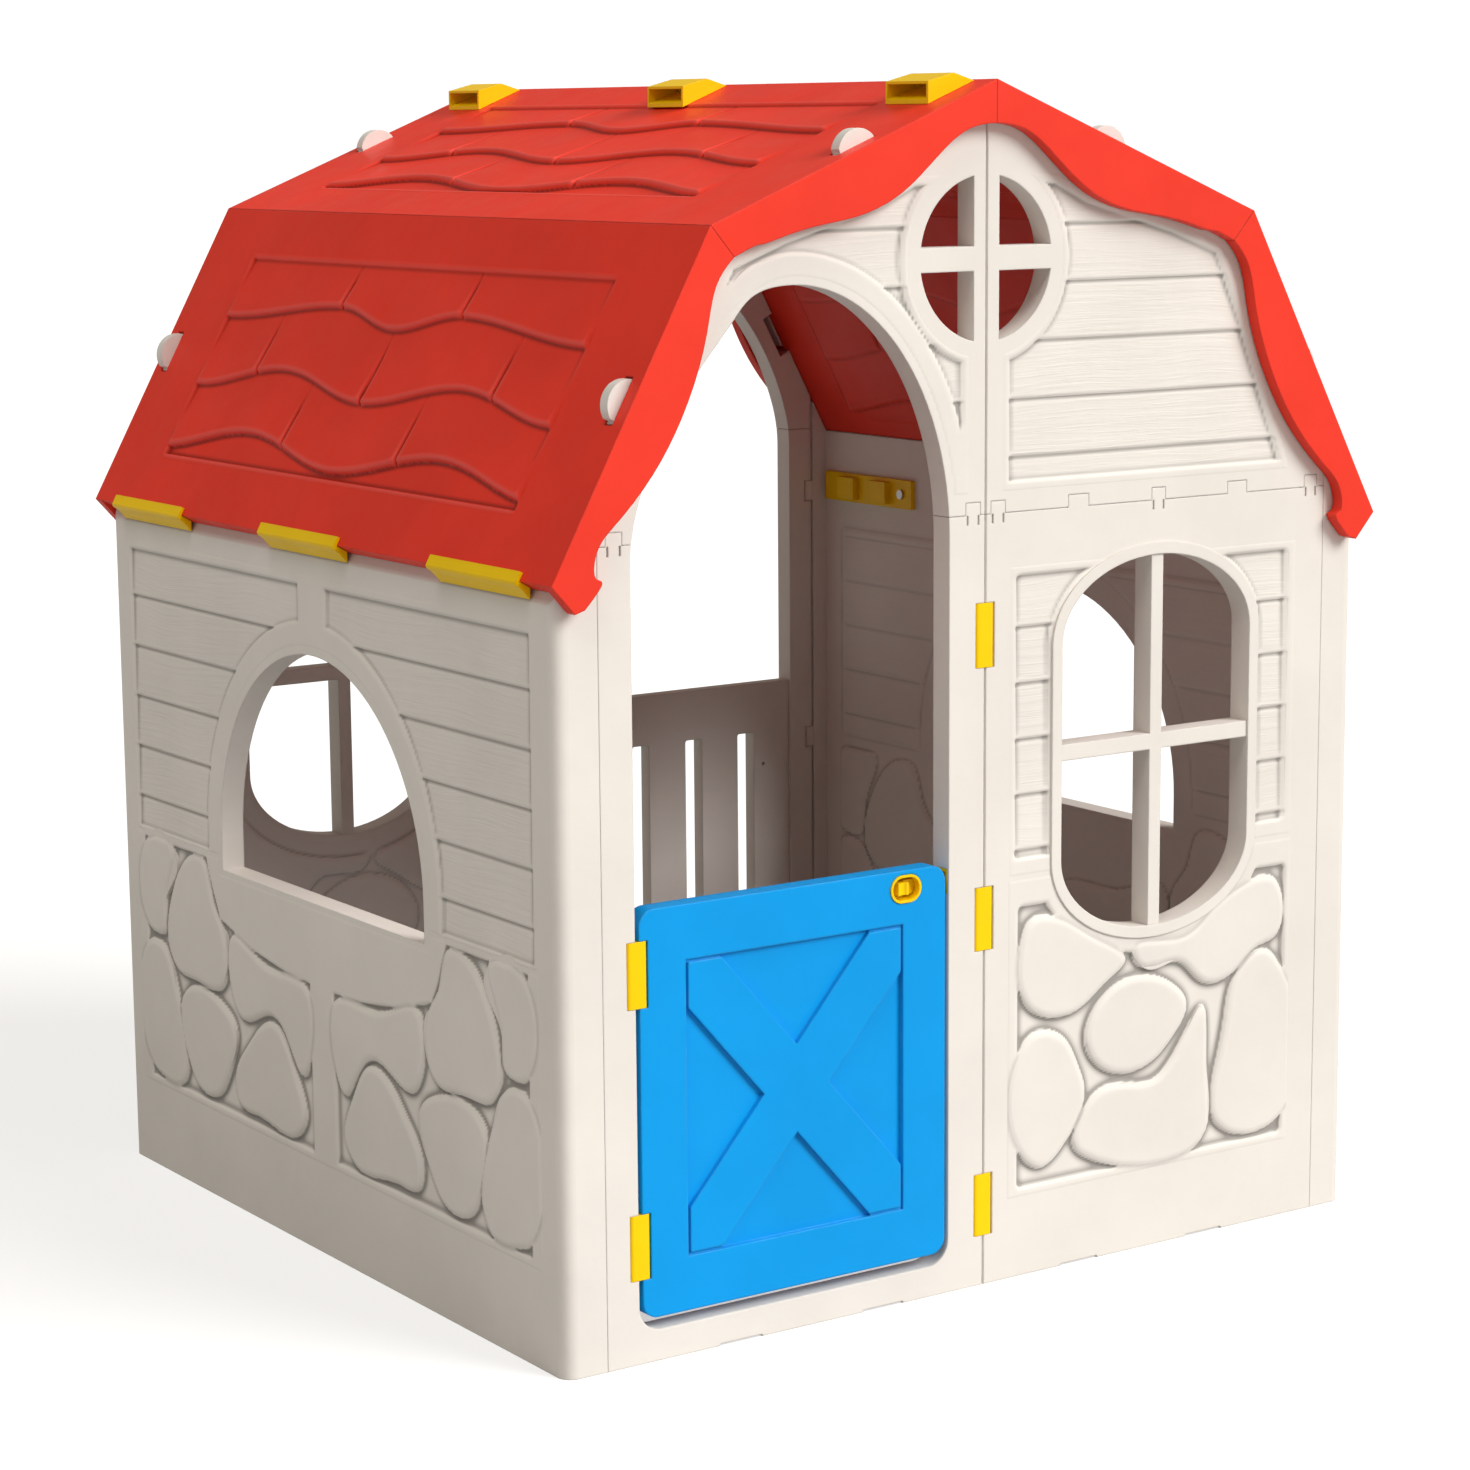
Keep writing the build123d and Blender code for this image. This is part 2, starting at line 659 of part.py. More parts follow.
def side_relief(wall):
    """Siding above, two blocks of stones below, and the arched window's rim."""
    x = -HALF_W
    edge = HALF_D - 42.0
    post = 26.0
    top = SIDING_TOP
    band = Pos(0, (FIELD_Z + top) / 2) * Rectangle(2 * edge, top - FIELD_Z)
    band -= Pos(0, top) * Rectangle(2 * post, SEAM_Z)
    band -= side_window(SIDE_WIN_RIM)
    wall -= slab_x(band, x - 1, x + RELIEF)
    for z in board_lines(FIELD_Z, top):
        line = Pos(0, z) * Rectangle(2 * edge, GROOVE_W) - Pos(0, top) * Rectangle(2 * post, SEAM_Z)
        line -= side_window(SIDE_WIN_RIM)
        wall -= slab_x(line, x - 1, x + RELIEF + GROOVE_D)
    sy, sz = DEPTH / 916.0, SEAM_Z / 759.0
    apron = [
        (23, 100), (404, 100), (404, 371), (252, 371), (238, 338),
        (222, 309), (150, 290), (80, 281), (23, 279),
    ]
    for hand in (-1, 1):
        field = poly(scaled(apron, hand * sy, sz))
        wall -= slab_x(field, x - 1, x + RELIEF)
        for outline in SIDE_STONES:
            wall += slab_x(blob(scaled(outline, hand * sy, sz)), x, x + RELIEF + 1)
    wall -= slab_x(side_window(), x - 5, x + SIDE_T + 1)
    return wall


# ---- roof ----
UPPER_WAVE = [      # share of the knee's distance out, share of the upper rise
    (0.112, 0.630), (0.218, 0.441), (0.361, 0.165), (0.489, 0.039), (0.710, -0.063), (0.826, -0.142),
]
LOWER_WAVE = [      # share of the way from knee to eave, outwards and down
    (-0.041, 0.166), (0.018, 0.286), (0.159, 0.513), (0.347, 0.685), (0.618, 0.844), (0.718, 0.909),
]
BOARD_AT_RIDGE = 40.5    # height of a bargeboard at the ridge
BOARD_AT_KNEE = 36.0     # depth of the bargeboards at the knee seam


def upper_board():
    """The bargeboard below the right upper slope: a wavy lower edge, level at the ridge."""
    rise = RIDGE_Z - KNEE_Z
    x0 = SEAM_GAP / 2
    low_start = (x0, RIDGE_Z - BOARD_AT_RIDGE)
    low_end = knee_at(BOARD_AT_KNEE)
    wave = [(u * KNEE_X, KNEE_Z + v * rise) for u, v in UPPER_WAVE]
    curve = Spline(low_start, *wave, low_end, tangents=[(1, 0), (0.9, -0.42)])
    outline = Polyline(low_end, KNEE, (x0, RIDGE_Z), low_start)
    return make_face(curve + outline)


def lower_board():
    """The bargeboard below the right lower slope, with its hooked tail at the eave."""
    run, drop = EAVE_X - KNEE_X, KNEE_Z - EAVE_Z
    low_start = knee_at(BOARD_AT_KNEE)
    wave = [(KNEE_X + u * run, KNEE_Z - v * drop) for u, v in LOWER_WAVE]
    hook = (KNEE_X + 0.730 * run, KNEE_Z - 0.985 * drop)
    tail = (KNEE_X + 0.800 * run, KNEE_Z - 1.075 * drop)
    heel = (KNEE_X + 0.860 * run, KNEE_Z - 1.085 * drop)
    curve = Spline(low_start, *wave, hook, tail, tangents=[(0.75, -0.66), (0.7, -0.7)])
    outline = Polyline(tail, heel, (EAVE_X, EAVE_Z), KNEE, low_start)
    return make_face(curve + outline)


def shingles(start, direction, length):
    """The recess and its three wavy rows, cut into a roof panel's surface."""
    x_mid, z_mid = slope_point(start, direction, 0.49 * length, 0)
    place = Location((x_mid, 0, z_mid), (0, tilt_of(direction), 0))
    span = 0.67 * length
    half_y = 0.79 * HALF_D
    recess = Box(span, 2 * half_y, 2 * SHINGLE_DEPTH)
    cuts = [place * recess]
    fills = []
    wave_y = 2 * math.pi / (0.8 * HALF_D)
    rows = [(-0.335, -0.19, 0.028, 1.48), (-0.19, 0.035, 0.038, 1.0), (0.035, 0.25, 0.04, 0.92)]
    for top, low, swell, pace in rows:
        edge = []
        count = 16
        for i in range(count + 1):
            y = half_y * (1 - 2 * i / count) * 0.992
            edge.append((length * (low + swell * math.cos(wave_y * pace * y)), y))
        curve = Spline(*edge)
        back = Polyline(edge[-1], (top * length, edge[-1][1]), (top * length, edge[0][1]), edge[0])
        face = make_face(curve + back)
        fills.append(face)
    return cuts, fills, place


def roof_panel(name):
    """The right upper or lower roof panel with both bargeboards and its wheel slots."""
    upper = name == "upper"
    start, direction, length = (RIDGE, UP_DIR, UP_LEN) if upper else (KNEE, LOW_DIR, LOW_LEN)
    knee_in = knee_at(ROOF_T)
    if upper:
        seam = SEAM_GAP / 2
        outline = poly([(seam, RIDGE_Z - seam * 0.4), KNEE, knee_in, (seam, under_roof(0, ROOF_T))])
        board = upper_board()
    else:
        outline = poly([KNEE, lower_at(length, 0), lower_at(length, ROOF_T), knee_in])
        board = lower_board()
    panel = slab_y(outline, -ROOF_Y, ROOF_Y)
    panel += slab_y(board, -ROOF_Y, -ROOF_Y + BOARD_T)
    panel += slab_y(board, ROOF_Y - BOARD_T, ROOF_Y)
    cuts, fills, place = shingles(start, direction, length)
    for cut in cuts:
        panel -= cut
    for face in fills:
        panel += place * Pos(0, 0, -SHINGLE_DEPTH) * extrude(face, amount=SHINGLE_T)
    for spot, (x, z), along in WHEEL_SPOTS:
        if spot != name:
            continue
        for side in (-1, 1):
            room = Box(2 * WHEEL_R + 2, WHEEL_T + 0.8, 4 * ROOF_T)
            place_w = Pos(x, side * WHEEL_Y, z) * Rot(0, tilt_of(along), 0)
            panel -= place_w * room
            hub = Rot(90, 0, 0) * Cylinder(WHEEL_HUB_R + RUN_FIT, WHEEL_T + 7)
            panel -= place_w * hub
    return panel


def knee_split(panel):
    """Keeps a hair's gap between the two panels at the knee."""
    x, z = knee_at(BOARD_AT_KNEE / 2)
    angle = math.degrees(math.atan2(KNEE_Z - z, KNEE_X - x))
    gap = Pos(x, 0, z) * Rot(0, -angle, 0) * Box(2 * BOARD_AT_KNEE, 2 * ROOF_Y + 10, SEAM_GAP)
    return panel - gap


def lock_wheel(spot, side_y):
    """A flat-sided disc with a thumb slot and a hub pin on each face."""
    _, (x, z), direction = spot
    disc = Cylinder(WHEEL_R, WHEEL_T)
    disc -= Pos(0, -WHEEL_R - WHEEL_FLAT, 0) * Box(4 * WHEEL_R, 2 * WHEEL_R, 2 * WHEEL_T)
    disc -= Pos(WHEEL_R - 2, 9, 0) * Box(3, 5, 2 * WHEEL_T)
    disc += Cylinder(WHEEL_HUB_R, WHEEL_T + 6)
    laid = Rot(90, 0, 0) * disc
    return Pos(x, side_y, z) * Rot(0, tilt_of(direction), 0) * laid


def eave_clip(y):
    """A bar hooked round the roof's lower edge at the right eave, clear of the wall."""
    gap = 0.4
    face_x = HALF_W + gap
    wall = 4.0
    near, far = LOW_LEN - 8.0, LOW_LEN + 5.0
    depth = (EAVE_X - face_x) / -LOW_DIR[1]
    inner = lower_at(LOW_LEN + gap, depth)
    outline = poly([
        lower_at(near, -wall), lower_at(far - 2, -wall), lower_at(far, -wall + 2),
        lower_at(far + 1.0, depth / 2), (face_x, inner[1] - 11.0), (face_x, inner[1] - gap),
        lower_at(LOW_LEN + gap, -gap), lower_at(near, -gap),
    ])
    return slab_y(outline, y - EAVE_CLIP_L / 2, y + EAVE_CLIP_L / 2)


def eave_bracket():
    """The bracket inside the right wall's top, with two raised blocks."""
    x = HALF_W - SIDE_T
    z1 = SEAM_Z - 52.0
    z0 = z1 - 34.0
    plate = block(x - 6, x - 0.02, -EAVE_CLIP_L / 2 - 6, EAVE_CLIP_L / 2 + 6, z0, z1)
    for y in (-0.28, 0.12):
        plate += block(x - 14, x - 5, y * EAVE_CLIP_L, (y + 0.2) * EAVE_CLIP_L, z0 + 4, z1 - 4)
    hole = Pos(x - 3, -0.42 * EAVE_CLIP_L, (z0 + z1) / 2) * Rot(0, 90, 0) * Cylinder(3.2, 20)
    return plate - hole


def bracket_screw():
    x = HALF_W - SIDE_T
    z = SEAM_Z - 52.0 - 17.0
    head = Pos(x - 7.5, -0.42 * EAVE_CLIP_L, z) * Rot(0, 90, 0) * Cylinder(5.5, 3)
    shank = Pos(x - 3, -0.42 * EAVE_CLIP_L, z) * Rot(0, 90, 0) * Cylinder(2.2, 6)
    return head + shank


def ridge_clip(y):
    """A hollow wedge on the left upper slope, open towards the left."""
    slope = mirror_slope()
    a, b = 4.0, 4.0 + RIDGE_CLIP_L
    top = RIDGE_Z + 6.0
    base_in = slope(a, -0.3)
    base_out = slope(b, -0.3)
    outline = poly([base_in, base_out, (base_out[0], base_out[1] + RIDGE_CLIP_H), (base_out[0] + 30, top)])
    half = RIDGE_CLIP_W / 2
    body = slab_y(outline, y - half, y + half)
    wall = 3.0
    mouth = poly([
        (base_out[0] - 1, base_out[1] + 4), (base_out[0] - 1, base_out[1] + RIDGE_CLIP_H - wall),
        (base_out[0] + 22, top - wall - 1), (base_out[0] + 36, base_out[1] + 17),
    ])
    return body - slab_y(mouth, y - half + wall, y + half - wall)


def mirror_slope():
    def at(along, depth):
        x, z = upper_at(along, depth)
        return -x, z
    return at


# ---- door ----
def door_outline():
    x0, x1 = -DOOR_X0 + DOOR_GAP, DOOR_FREE_X
    z0, z1 = DOOR_Z0, DOOR_Z1
    return Pos((x0 + x1) / 2, (z0 + z1) / 2) * RectangleRounded(x1 - x0, z1 - z0, DOOR_R)


def half_door():
    """The half door with four sunk triangles that leave a crossed brace."""
    y0 = -HALF_D
    x0, x1 = -DOOR_X0 + DOOR_GAP, DOOR_FREE_X
    door = slab_y(door_outline(), y0, y0 + DOOR_T)
    ax, bx = x0 + BRACE_MARGIN_X, x1 - BRACE_MARGIN_X
    az, bz = DOOR_Z0 + BRACE_MARGIN_Z, DOOR_Z1 - BRACE_MARGIN_Z
    mx, mz = (ax + bx) / 2, (az + bz) / 2
    half = BRACE_W / 2
    lean = math.hypot(bx - ax, bz - az)
    in_z = half * lean / (bx - ax)
    in_x = half * lean / (bz - az)
    pockets = [
        [(ax, az + in_z), (ax, bz - in_z), (mx - in_x, mz)],
        [(bx, az + in_z), (bx, bz - in_z), (mx + in_x, mz)],
        [(ax + in_x, bz), (bx - in_x, bz), (mx, mz + in_z)],
        [(ax + in_x, az), (bx - in_x, az), (mx, mz - in_z)],
    ]
    for points in pockets:
        door -= slab_y(poly(points), y0 - 1, y0 + BRACE_DEPTH)
    frame = Pos(mx, mz) * Rectangle(bx - ax, bz - az)
    frame -= Pos(mx, mz) * Rectangle(bx - ax - 6, bz - az - 6)
    door -= slab_y(frame, y0 - 1, y0 + BRACE_DEPTH / 2)
    for z in DOOR_PLATE_Z:
        door -= plate_pocket(-DOOR_HINGE_X, z)
    door -= latch_room()
    return door


def latch_room():
    """The seat of the latch bezel, and the tunnel for its slider out to the free edge."""
    y0 = -HALF_D
    seat = slab_y(Pos(LATCH_X, LATCH_Z) * SlotOverall(LATCH_W + 0.4, LATCH_H + 0.4), y0 - 1, y0 + 16.0)
    tunnel = block(
        LATCH_X, DOOR_FREE_X + 1,
        LATCH_Y - 3.4, LATCH_Y + 3.4, LATCH_Z - 7.4, LATCH_Z + 7.4,
    )
    return seat + tunnel


def latch_bezel():
    """The oval cup that holds the thumb slider."""
    y0 = -HALF_D
    cup = slab_y(Pos(LATCH_X, LATCH_Z) * SlotOverall(LATCH_W, LATCH_H), y0 - 1.2, y0 + 15.7)
    cup -= slab_y(Pos(LATCH_X, LATCH_Z) * SlotOverall(LATCH_W - 5, LATCH_H - 5), y0 - 2, y0 + 13.6)
    cup -= block(LATCH_X, LATCH_X + 40, LATCH_Y - 3.4, LATCH_Y + 3.4, LATCH_Z - 7.4, LATCH_Z + 7.4)
    return cup


def latch_slider():
    """The thumb piece and the tongue that runs out into the keeper."""
    y0 = -HALF_D
    x = LATCH_X - 3.0
    thumb = block(x - 6, x + 6, y0 - 0.6, LATCH_Y + 3, LATCH_Z - 6, LATCH_Z + 6)
    thumb -= Pos(x, y0 - 4, LATCH_Z) * Cylinder(5, 12)
    tongue = block(x + 5, DOOR_FREE_X - 0.5, LATCH_Y - 3, LATCH_Y + 3, LATCH_Z - 7, LATCH_Z + 7)
    return thumb + tongue


# ---- fence in the back doorway ----
FENCE_TOP = 452.0
FENCE_RAIL = 60.0
FENCE_T = 18.0
PICKETS = 5
GAP_W = 24.0


def fence():
    """Upright slats between two rails, fixed in the back doorway; drawn at the front left."""
    x0, x1 = -DOOR_X0 + SEAM_GAP, -JAMB_INNER - SEAM_GAP
    y0 = -HALF_D + 3.0
    z0 = SILL_H + SEAM_GAP
    middle = Pos((x0 + x1) / 2, (z0 + FENCE_TOP) / 2)
    outline = middle * RectangleRounded(x1 - x0, FENCE_TOP - z0, SILL_R + 1)
    square = Pos((x0 + x1) / 2, FENCE_TOP - 40) * Rectangle(x1 - x0, 80)
    board = slab_y(outline + square, y0, y0 + FENCE_T)
    pitch = (x1 - x0 + GAP_W) / PICKETS
    for i in range(1, PICKETS):
        x = x0 + i * pitch - GAP_W / 2
        slot = Pos(x, (z0 + FENCE_RAIL + FENCE_TOP - FENCE_RAIL) / 2) * RectangleRounded(
            GAP_W, FENCE_TOP - z0 - 2 * FENCE_RAIL, 3
        )
        board -= slab_y(slot, y0 - 1, y0 + FENCE_T + 1)
    for x in (x0 + 0.5 * pitch, x1 - 0.5 * pitch):
        board -= Pos(x, y0 + FENCE_T / 2, FENCE_TOP - 100) * Rot(90, 0, 0) * Cylinder(2.2, 2 * FENCE_T)
    return board


# ---- write every piece ----
def write(name, shape):
    solids = shape.solids()
    made = solids[0] if len(solids) == 1 else Compound(children=list(solids))
    export_step(made, os.path.join("parts", name + ".step"))


def main():
    os.makedirs("parts", exist_ok=True)
    arch = arch_panel()
    window = window_panel()
    write("front_door_panel", doorway_fittings(arch))
    write("front_window_panel", window)
    write("back_fence_panel", turned(arch))
    write("back_window_panel", turned(window))
    bars = window_bars()
    write("front_window_bars", bars)
    write("back_window_bars", turned(bars))
    gable_left = gable(-1, DOOR_TABS)
    gable_right = gable(1, WINDOW_TABS)
    write("front_left_gable", gable_left)
    write("front_right_gable", gable_right)
    write("back_right_gable", turned(gable_left))
    write("back_left_gable", turned(gable_right))
    wall = side_wall()
    write("left_side_wall", wall)
    write("right_side_wall", turned(wall))
    write("back_fence", turned(fence()))
    for number, z in enumerate(FOLD_PLATE_Z):
        level = ("low", "middle", "high")[number]
        plate = hinge_plate(0, z)
        write("front_fold_hinge_" + level, plate)
        write("back_fold_hinge_" + level, turned(plate))
    for number, z in enumerate(DOOR_PLATE_Z):
        write("door_hinge_" + ("low", "high")[number], hinge_plate(-DOOR_HINGE_X, z))
    pin = corner_rod()
    write("corner_rod_front_left", pin)
    write("corner_rod_front_right", mirrored(pin))
    write("corner_rod_back_right", turned(pin))
    write("corner_rod_back_left", turned(mirrored(pin)))
    write("half_door", half_door())
    write("latch_cup", latch_bezel())
    write("latch_slider", latch_slider())
    write("latch_keeper", keeper())
    for name in ("upper", "lower"):
        panel = knee_split(roof_panel(name))
        write("roof_right_" + name, panel)
        write("roof_left_" + name, mirrored(panel))
    for spot in WHEEL_SPOTS:
        for place, sign in (("front", -1), ("back", 1)):
            wheel = lock_wheel(spot, sign * WHEEL_Y)
            write("lock_" + place + "_right_" + spot[0], wheel)
            write("lock_" + place + "_left_" + spot[0], mirrored(wheel))
    for number, y in enumerate((-RIDGE_CLIP_Y, 0, RIDGE_CLIP_Y)):
        write("ridge_clip_" + ("front", "middle", "back")[number], ridge_clip(y))
    for number, y in enumerate((-EAVE_CLIP_Y, 0, EAVE_CLIP_Y)):
        clip = eave_clip(y)
        level = ("front", "middle", "back")[number]
        write("eave_clip_right_" + level, clip)
        write("eave_clip_left_" + level, mirrored(clip))
    brackets = Compound(children=[Pos(0, y, 0) * eave_bracket() for y in (-EAVE_CLIP_Y, 0, EAVE_CLIP_Y)])
    screws = Compound(children=[Pos(0, y, 0) * bracket_screw() for y in (-EAVE_CLIP_Y, 0, EAVE_CLIP_Y)])
    write("eave_brackets_right", brackets)
    write("eave_brackets_left", turned(brackets))
    write("bracket_screws_right", screws)
    write("bracket_screws_left", turned(screws))


main()
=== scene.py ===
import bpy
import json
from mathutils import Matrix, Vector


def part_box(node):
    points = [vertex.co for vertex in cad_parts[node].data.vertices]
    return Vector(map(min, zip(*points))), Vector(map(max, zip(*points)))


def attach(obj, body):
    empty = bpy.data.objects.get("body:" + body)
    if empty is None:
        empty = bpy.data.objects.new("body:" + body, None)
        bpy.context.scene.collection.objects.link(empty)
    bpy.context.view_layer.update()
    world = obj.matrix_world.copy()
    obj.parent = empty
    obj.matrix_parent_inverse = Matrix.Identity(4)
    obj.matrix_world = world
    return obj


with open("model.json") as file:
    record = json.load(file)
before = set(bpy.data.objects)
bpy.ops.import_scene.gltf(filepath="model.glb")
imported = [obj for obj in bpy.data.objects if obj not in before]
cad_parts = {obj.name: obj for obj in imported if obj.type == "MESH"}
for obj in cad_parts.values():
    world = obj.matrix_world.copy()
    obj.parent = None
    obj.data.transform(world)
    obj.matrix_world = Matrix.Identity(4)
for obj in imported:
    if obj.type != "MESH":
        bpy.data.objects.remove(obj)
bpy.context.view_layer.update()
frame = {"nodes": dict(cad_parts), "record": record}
import json
import math
import bpy
import numpy as np
from mathutils import Matrix, Vector

NODES = frame["nodes"]


# ---------------------------------------------------------------- materials
class Graph:
    """A small helper that adds shader nodes and links them by socket."""

    def __init__(self, name):
        self.material = bpy.data.materials.new(name)
        self.material.use_nodes = True
        self.tree = self.material.node_tree
        self.tree.nodes.clear()
        out = self.tree.nodes.new("ShaderNodeOutputMaterial")
        self.shader = self.tree.nodes.new("ShaderNodeBsdfPrincipled")
        self.link(self.shader.outputs["BSDF"], out.inputs["Surface"])
        coords = self.tree.nodes.new("ShaderNodeTexCoord")
        self.place = coords.outputs["Object"]

    def link(self, a, b):
        self.tree.links.new(a, b)

    def node(self, kind, **sockets):
        """Adds a node; each keyword names an input socket, with a value or a link."""
        made = self.tree.nodes.new(kind)
        for key, value in sockets.items():
            numbered = key[0] == "i" and key[1:].isdigit()
            socket = made.inputs[int(key[1:]) if numbered else key.replace("_", " ")]
            if isinstance(value, bpy.types.NodeSocket):
                self.link(value, socket)
            else:
                socket.default_value = value
        return made

    def math(self, operation, a, b=0.0, clamp=False):
        made = self.node("ShaderNodeMath", i0=a, i1=b)
        made.operation = operation
        made.use_clamp = clamp
        return made.outputs[0]

    def stretched(self, scale):
        """Object coordinates multiplied by a scale along each axis."""
        made = self.node("ShaderNodeMapping", Vector=self.place, Scale=scale)
        return made.outputs[0]

    def noise(self, vector, scale, detail=3.0, rough=0.55):
        made = self.node(
            "ShaderNodeTexNoise", Vector=vector, Scale=scale, Detail=detail, Roughness=rough
        )
        return made.outputs["Fac"]

    def ramp(self, fac, low, high, to_low=0.0, to_high=1.0):
        made = self.node("ShaderNodeMapRange", Value=fac)
        made.inputs["From Min"].default_value = low
        made.inputs["From Max"].default_value = high
        made.inputs["To Min"].default_value = to_low
        made.inputs["To Max"].default_value = to_high
        return made.outputs[0]

    def mix(self, fac, a, b):
        made = self.tree.nodes.new("ShaderNodeMix")
        made.data_type = "RGBA"
        for socket, value in ((made.inputs[0], fac), (made.inputs[6], a), (made.inputs[7], b)):
            if isinstance(value, bpy.types.NodeSocket):
                self.link(value, socket)
            else:
                socket.default_value = value
        return made.outputs[2]


def shade(colour, factor):
    return tuple(min(1.0, c * factor) for c in colour) + (1.0,)


def plastic(name, colour, rough, edge=0.0016, wood=0.0, dirt=0.10, gloss=0.16):
    """Moulded plastic: slow colour mottling, fine grain, uneven gloss, softened and slightly
    rubbed edges. wood adds a shallow grain stretched along the horizontal directions. With
    no edge, as on the relief sheets, a stored measure of how far each point lies below its
    surroundings gives painted shade in the channels and a painted highlight on the ridges."""
    g = Graph(name)
    mottle = g.noise(g.place, 7.0, 4.0)
    speck = g.noise(g.place, 260.0, 2.0)
    base = g.mix(g.ramp(mottle, 0.35, 0.65), shade(colour, 1.0 - dirt), shade(colour, 1.03))
    base = g.mix(g.math("MULTIPLY", g.ramp(speck, 0.55, 0.8), 0.12), base, shade(colour, 1.12))
    if edge:
        bevel = g.node("ShaderNodeBevel", Radius=edge)
        bevel.samples = 4
        true_normal = g.node("ShaderNodeNewGeometry").outputs["Normal"]
        facing = g.node("ShaderNodeVectorMath", i0=bevel.outputs[0], i1=true_normal)
        facing.operation = "DOT_PRODUCT"
        worn = g.ramp(facing.outputs["Value"], 0.985, 0.80)
        patchy = g.ramp(g.noise(g.place, 30.0, 3.0), 0.35, 0.7)
        wear = g.math("MULTIPLY", g.math("MULTIPLY", worn, patchy), 0.22)
        base = g.mix(wear, base, shade(tuple(0.75 * c + 0.25 for c in colour), 1.0))
    else:
        # painted shade: the base colour darkens in the relief's channels, where shade falls
        relief_shade = g.node("ShaderNodeAttribute")
        relief_shade.attribute_name = "relief_shade"
        painted_shade = g.ramp(relief_shade.outputs["Fac"], 0.08, 1.1, 0.0, 0.8)
        base = g.mix(painted_shade, base, shade(colour, 0.30))
        # painted highlight: the base colour lightens on the relief's ridges, standing in for light
        painted_highlight = g.ramp(relief_shade.outputs["Fac"], -0.1, -1.0, 0.0, 0.22)
        base = g.mix(painted_highlight, base, shade(tuple(0.8 * c + 0.2 for c in colour), 1.0))
    g.link(base, g.shader.inputs["Base Color"])
    gloss_noise = g.noise(g.place, 18.0, 4.0)
    g.link(g.ramp(gloss_noise, 0.3, 0.7, rough - 0.05, rough + 0.07), g.shader.inputs["Roughness"])
    g.shader.inputs["Specular IOR Level"].default_value = gloss
    fine = g.noise(g.place, 900.0, 2.0, 0.6)
    height = g.math("MULTIPLY", fine, 0.00006)
    swell = g.noise(g.place, 24.0, 2.0)
    height = g.math("ADD", height, g.math("MULTIPLY", swell, 0.0007))
    if wood:
        wavy = g.noise(g.place, 5.0, 1.0)
        lines = g.node("ShaderNodeVectorMath", i0=g.stretched((3.0, 3.0, 90.0)))
        lines.operation = "ADD"
        shift = g.node("ShaderNodeCombineXYZ", Z=g.math("MULTIPLY", wavy, 3.0))
        g.link(shift.outputs[0], lines.inputs[1])
        grain = g.noise(lines.outputs[0], 2.6, 4.0, 0.65)
        share = g.node("ShaderNodeAttribute")
        share.attribute_name = "grain"
        share = g.math("ADD", g.math("MULTIPLY", share.outputs["Fac"], 0.9), 0.1)
        grain = g.math("MULTIPLY", g.ramp(grain, 0.42, 0.62), share)
        height = g.math("ADD", height, g.math("MULTIPLY", grain, wood))
    bump = g.node("ShaderNodeBump", Height=height)
    if edge:
        g.link(bevel.outputs[0], bump.inputs["Normal"])
    bump.inputs["Strength"].default_value = 0.8
    bump.inputs["Distance"].default_value = 1.0
    g.link(bump.outputs[0], g.shader.inputs["Normal"])
    return g.material


def steel(name):
    """Zinc plated steel with fine drawn lines."""
    g = Graph(name)
    lines = g.noise(g.stretched((300.0, 300.0, 12.0)), 3.0, 3.0)
    base = g.mix(lines, (0.42, 0.42, 0.44, 1.0), (0.62, 0.62, 0.64, 1.0))
    g.link(base, g.shader.inputs["Base Color"])
    g.shader.inputs["Metallic"].default_value = 1.0
    g.link(g.ramp(lines, 0.3, 0.7, 0.28, 0.42), g.shader.inputs["Roughness"])
    bump = g.node("ShaderNodeBump", Height=g.math("MULTIPLY", lines, 0.00004))
    g.link(bump.outputs[0], g.shader.inputs["Normal"])
    return g.material


CREAM = (0.73, 0.69, 0.645)
RED = (0.80, 0.040, 0.020)
FINISH = {
    "wall_cream": plastic("moulded_cream", CREAM, 0.46, 0.0022, wood=0.00025, dirt=0.03),
    "roof_red": plastic("moulded_red", RED, 0.42, 0.0020, dirt=0.07),
    "door_blue": plastic("moulded_blue", (0.0, 0.30, 0.74), 0.40, 0.0025, dirt=0.05),
    "fitting_yellow": plastic("moulded_yellow", (0.90, 0.58, 0.0), 0.34, 0.0010, dirt=0.04),
    "lock_white": plastic("moulded_white", (0.74, 0.71, 0.67), 0.38, 0.0015, dirt=0.05),
    "pin_steel": steel("plated_steel"),
}
# materials of the relief sheets: their colour carries painted shade in channels and a painted
# highlight on ridges
RELIEF_FINISH_AND_SHADE = {
    "wall_cream": plastic("moulded_cream_relief", CREAM, 0.46, 0.0, wood=0.00025, dirt=0.03),
    "roof_red": plastic("moulded_red_relief", RED, 0.42, 0.0, dirt=0.07),
}

SLOT_OF = {part["node"]: part["material_slot"] for part in frame["record"]["subparts"]}
for node_name, thing in NODES.items():
    thing.data.materials.clear()
    thing.data.materials.append(FINISH[SLOT_OF[node_name]])


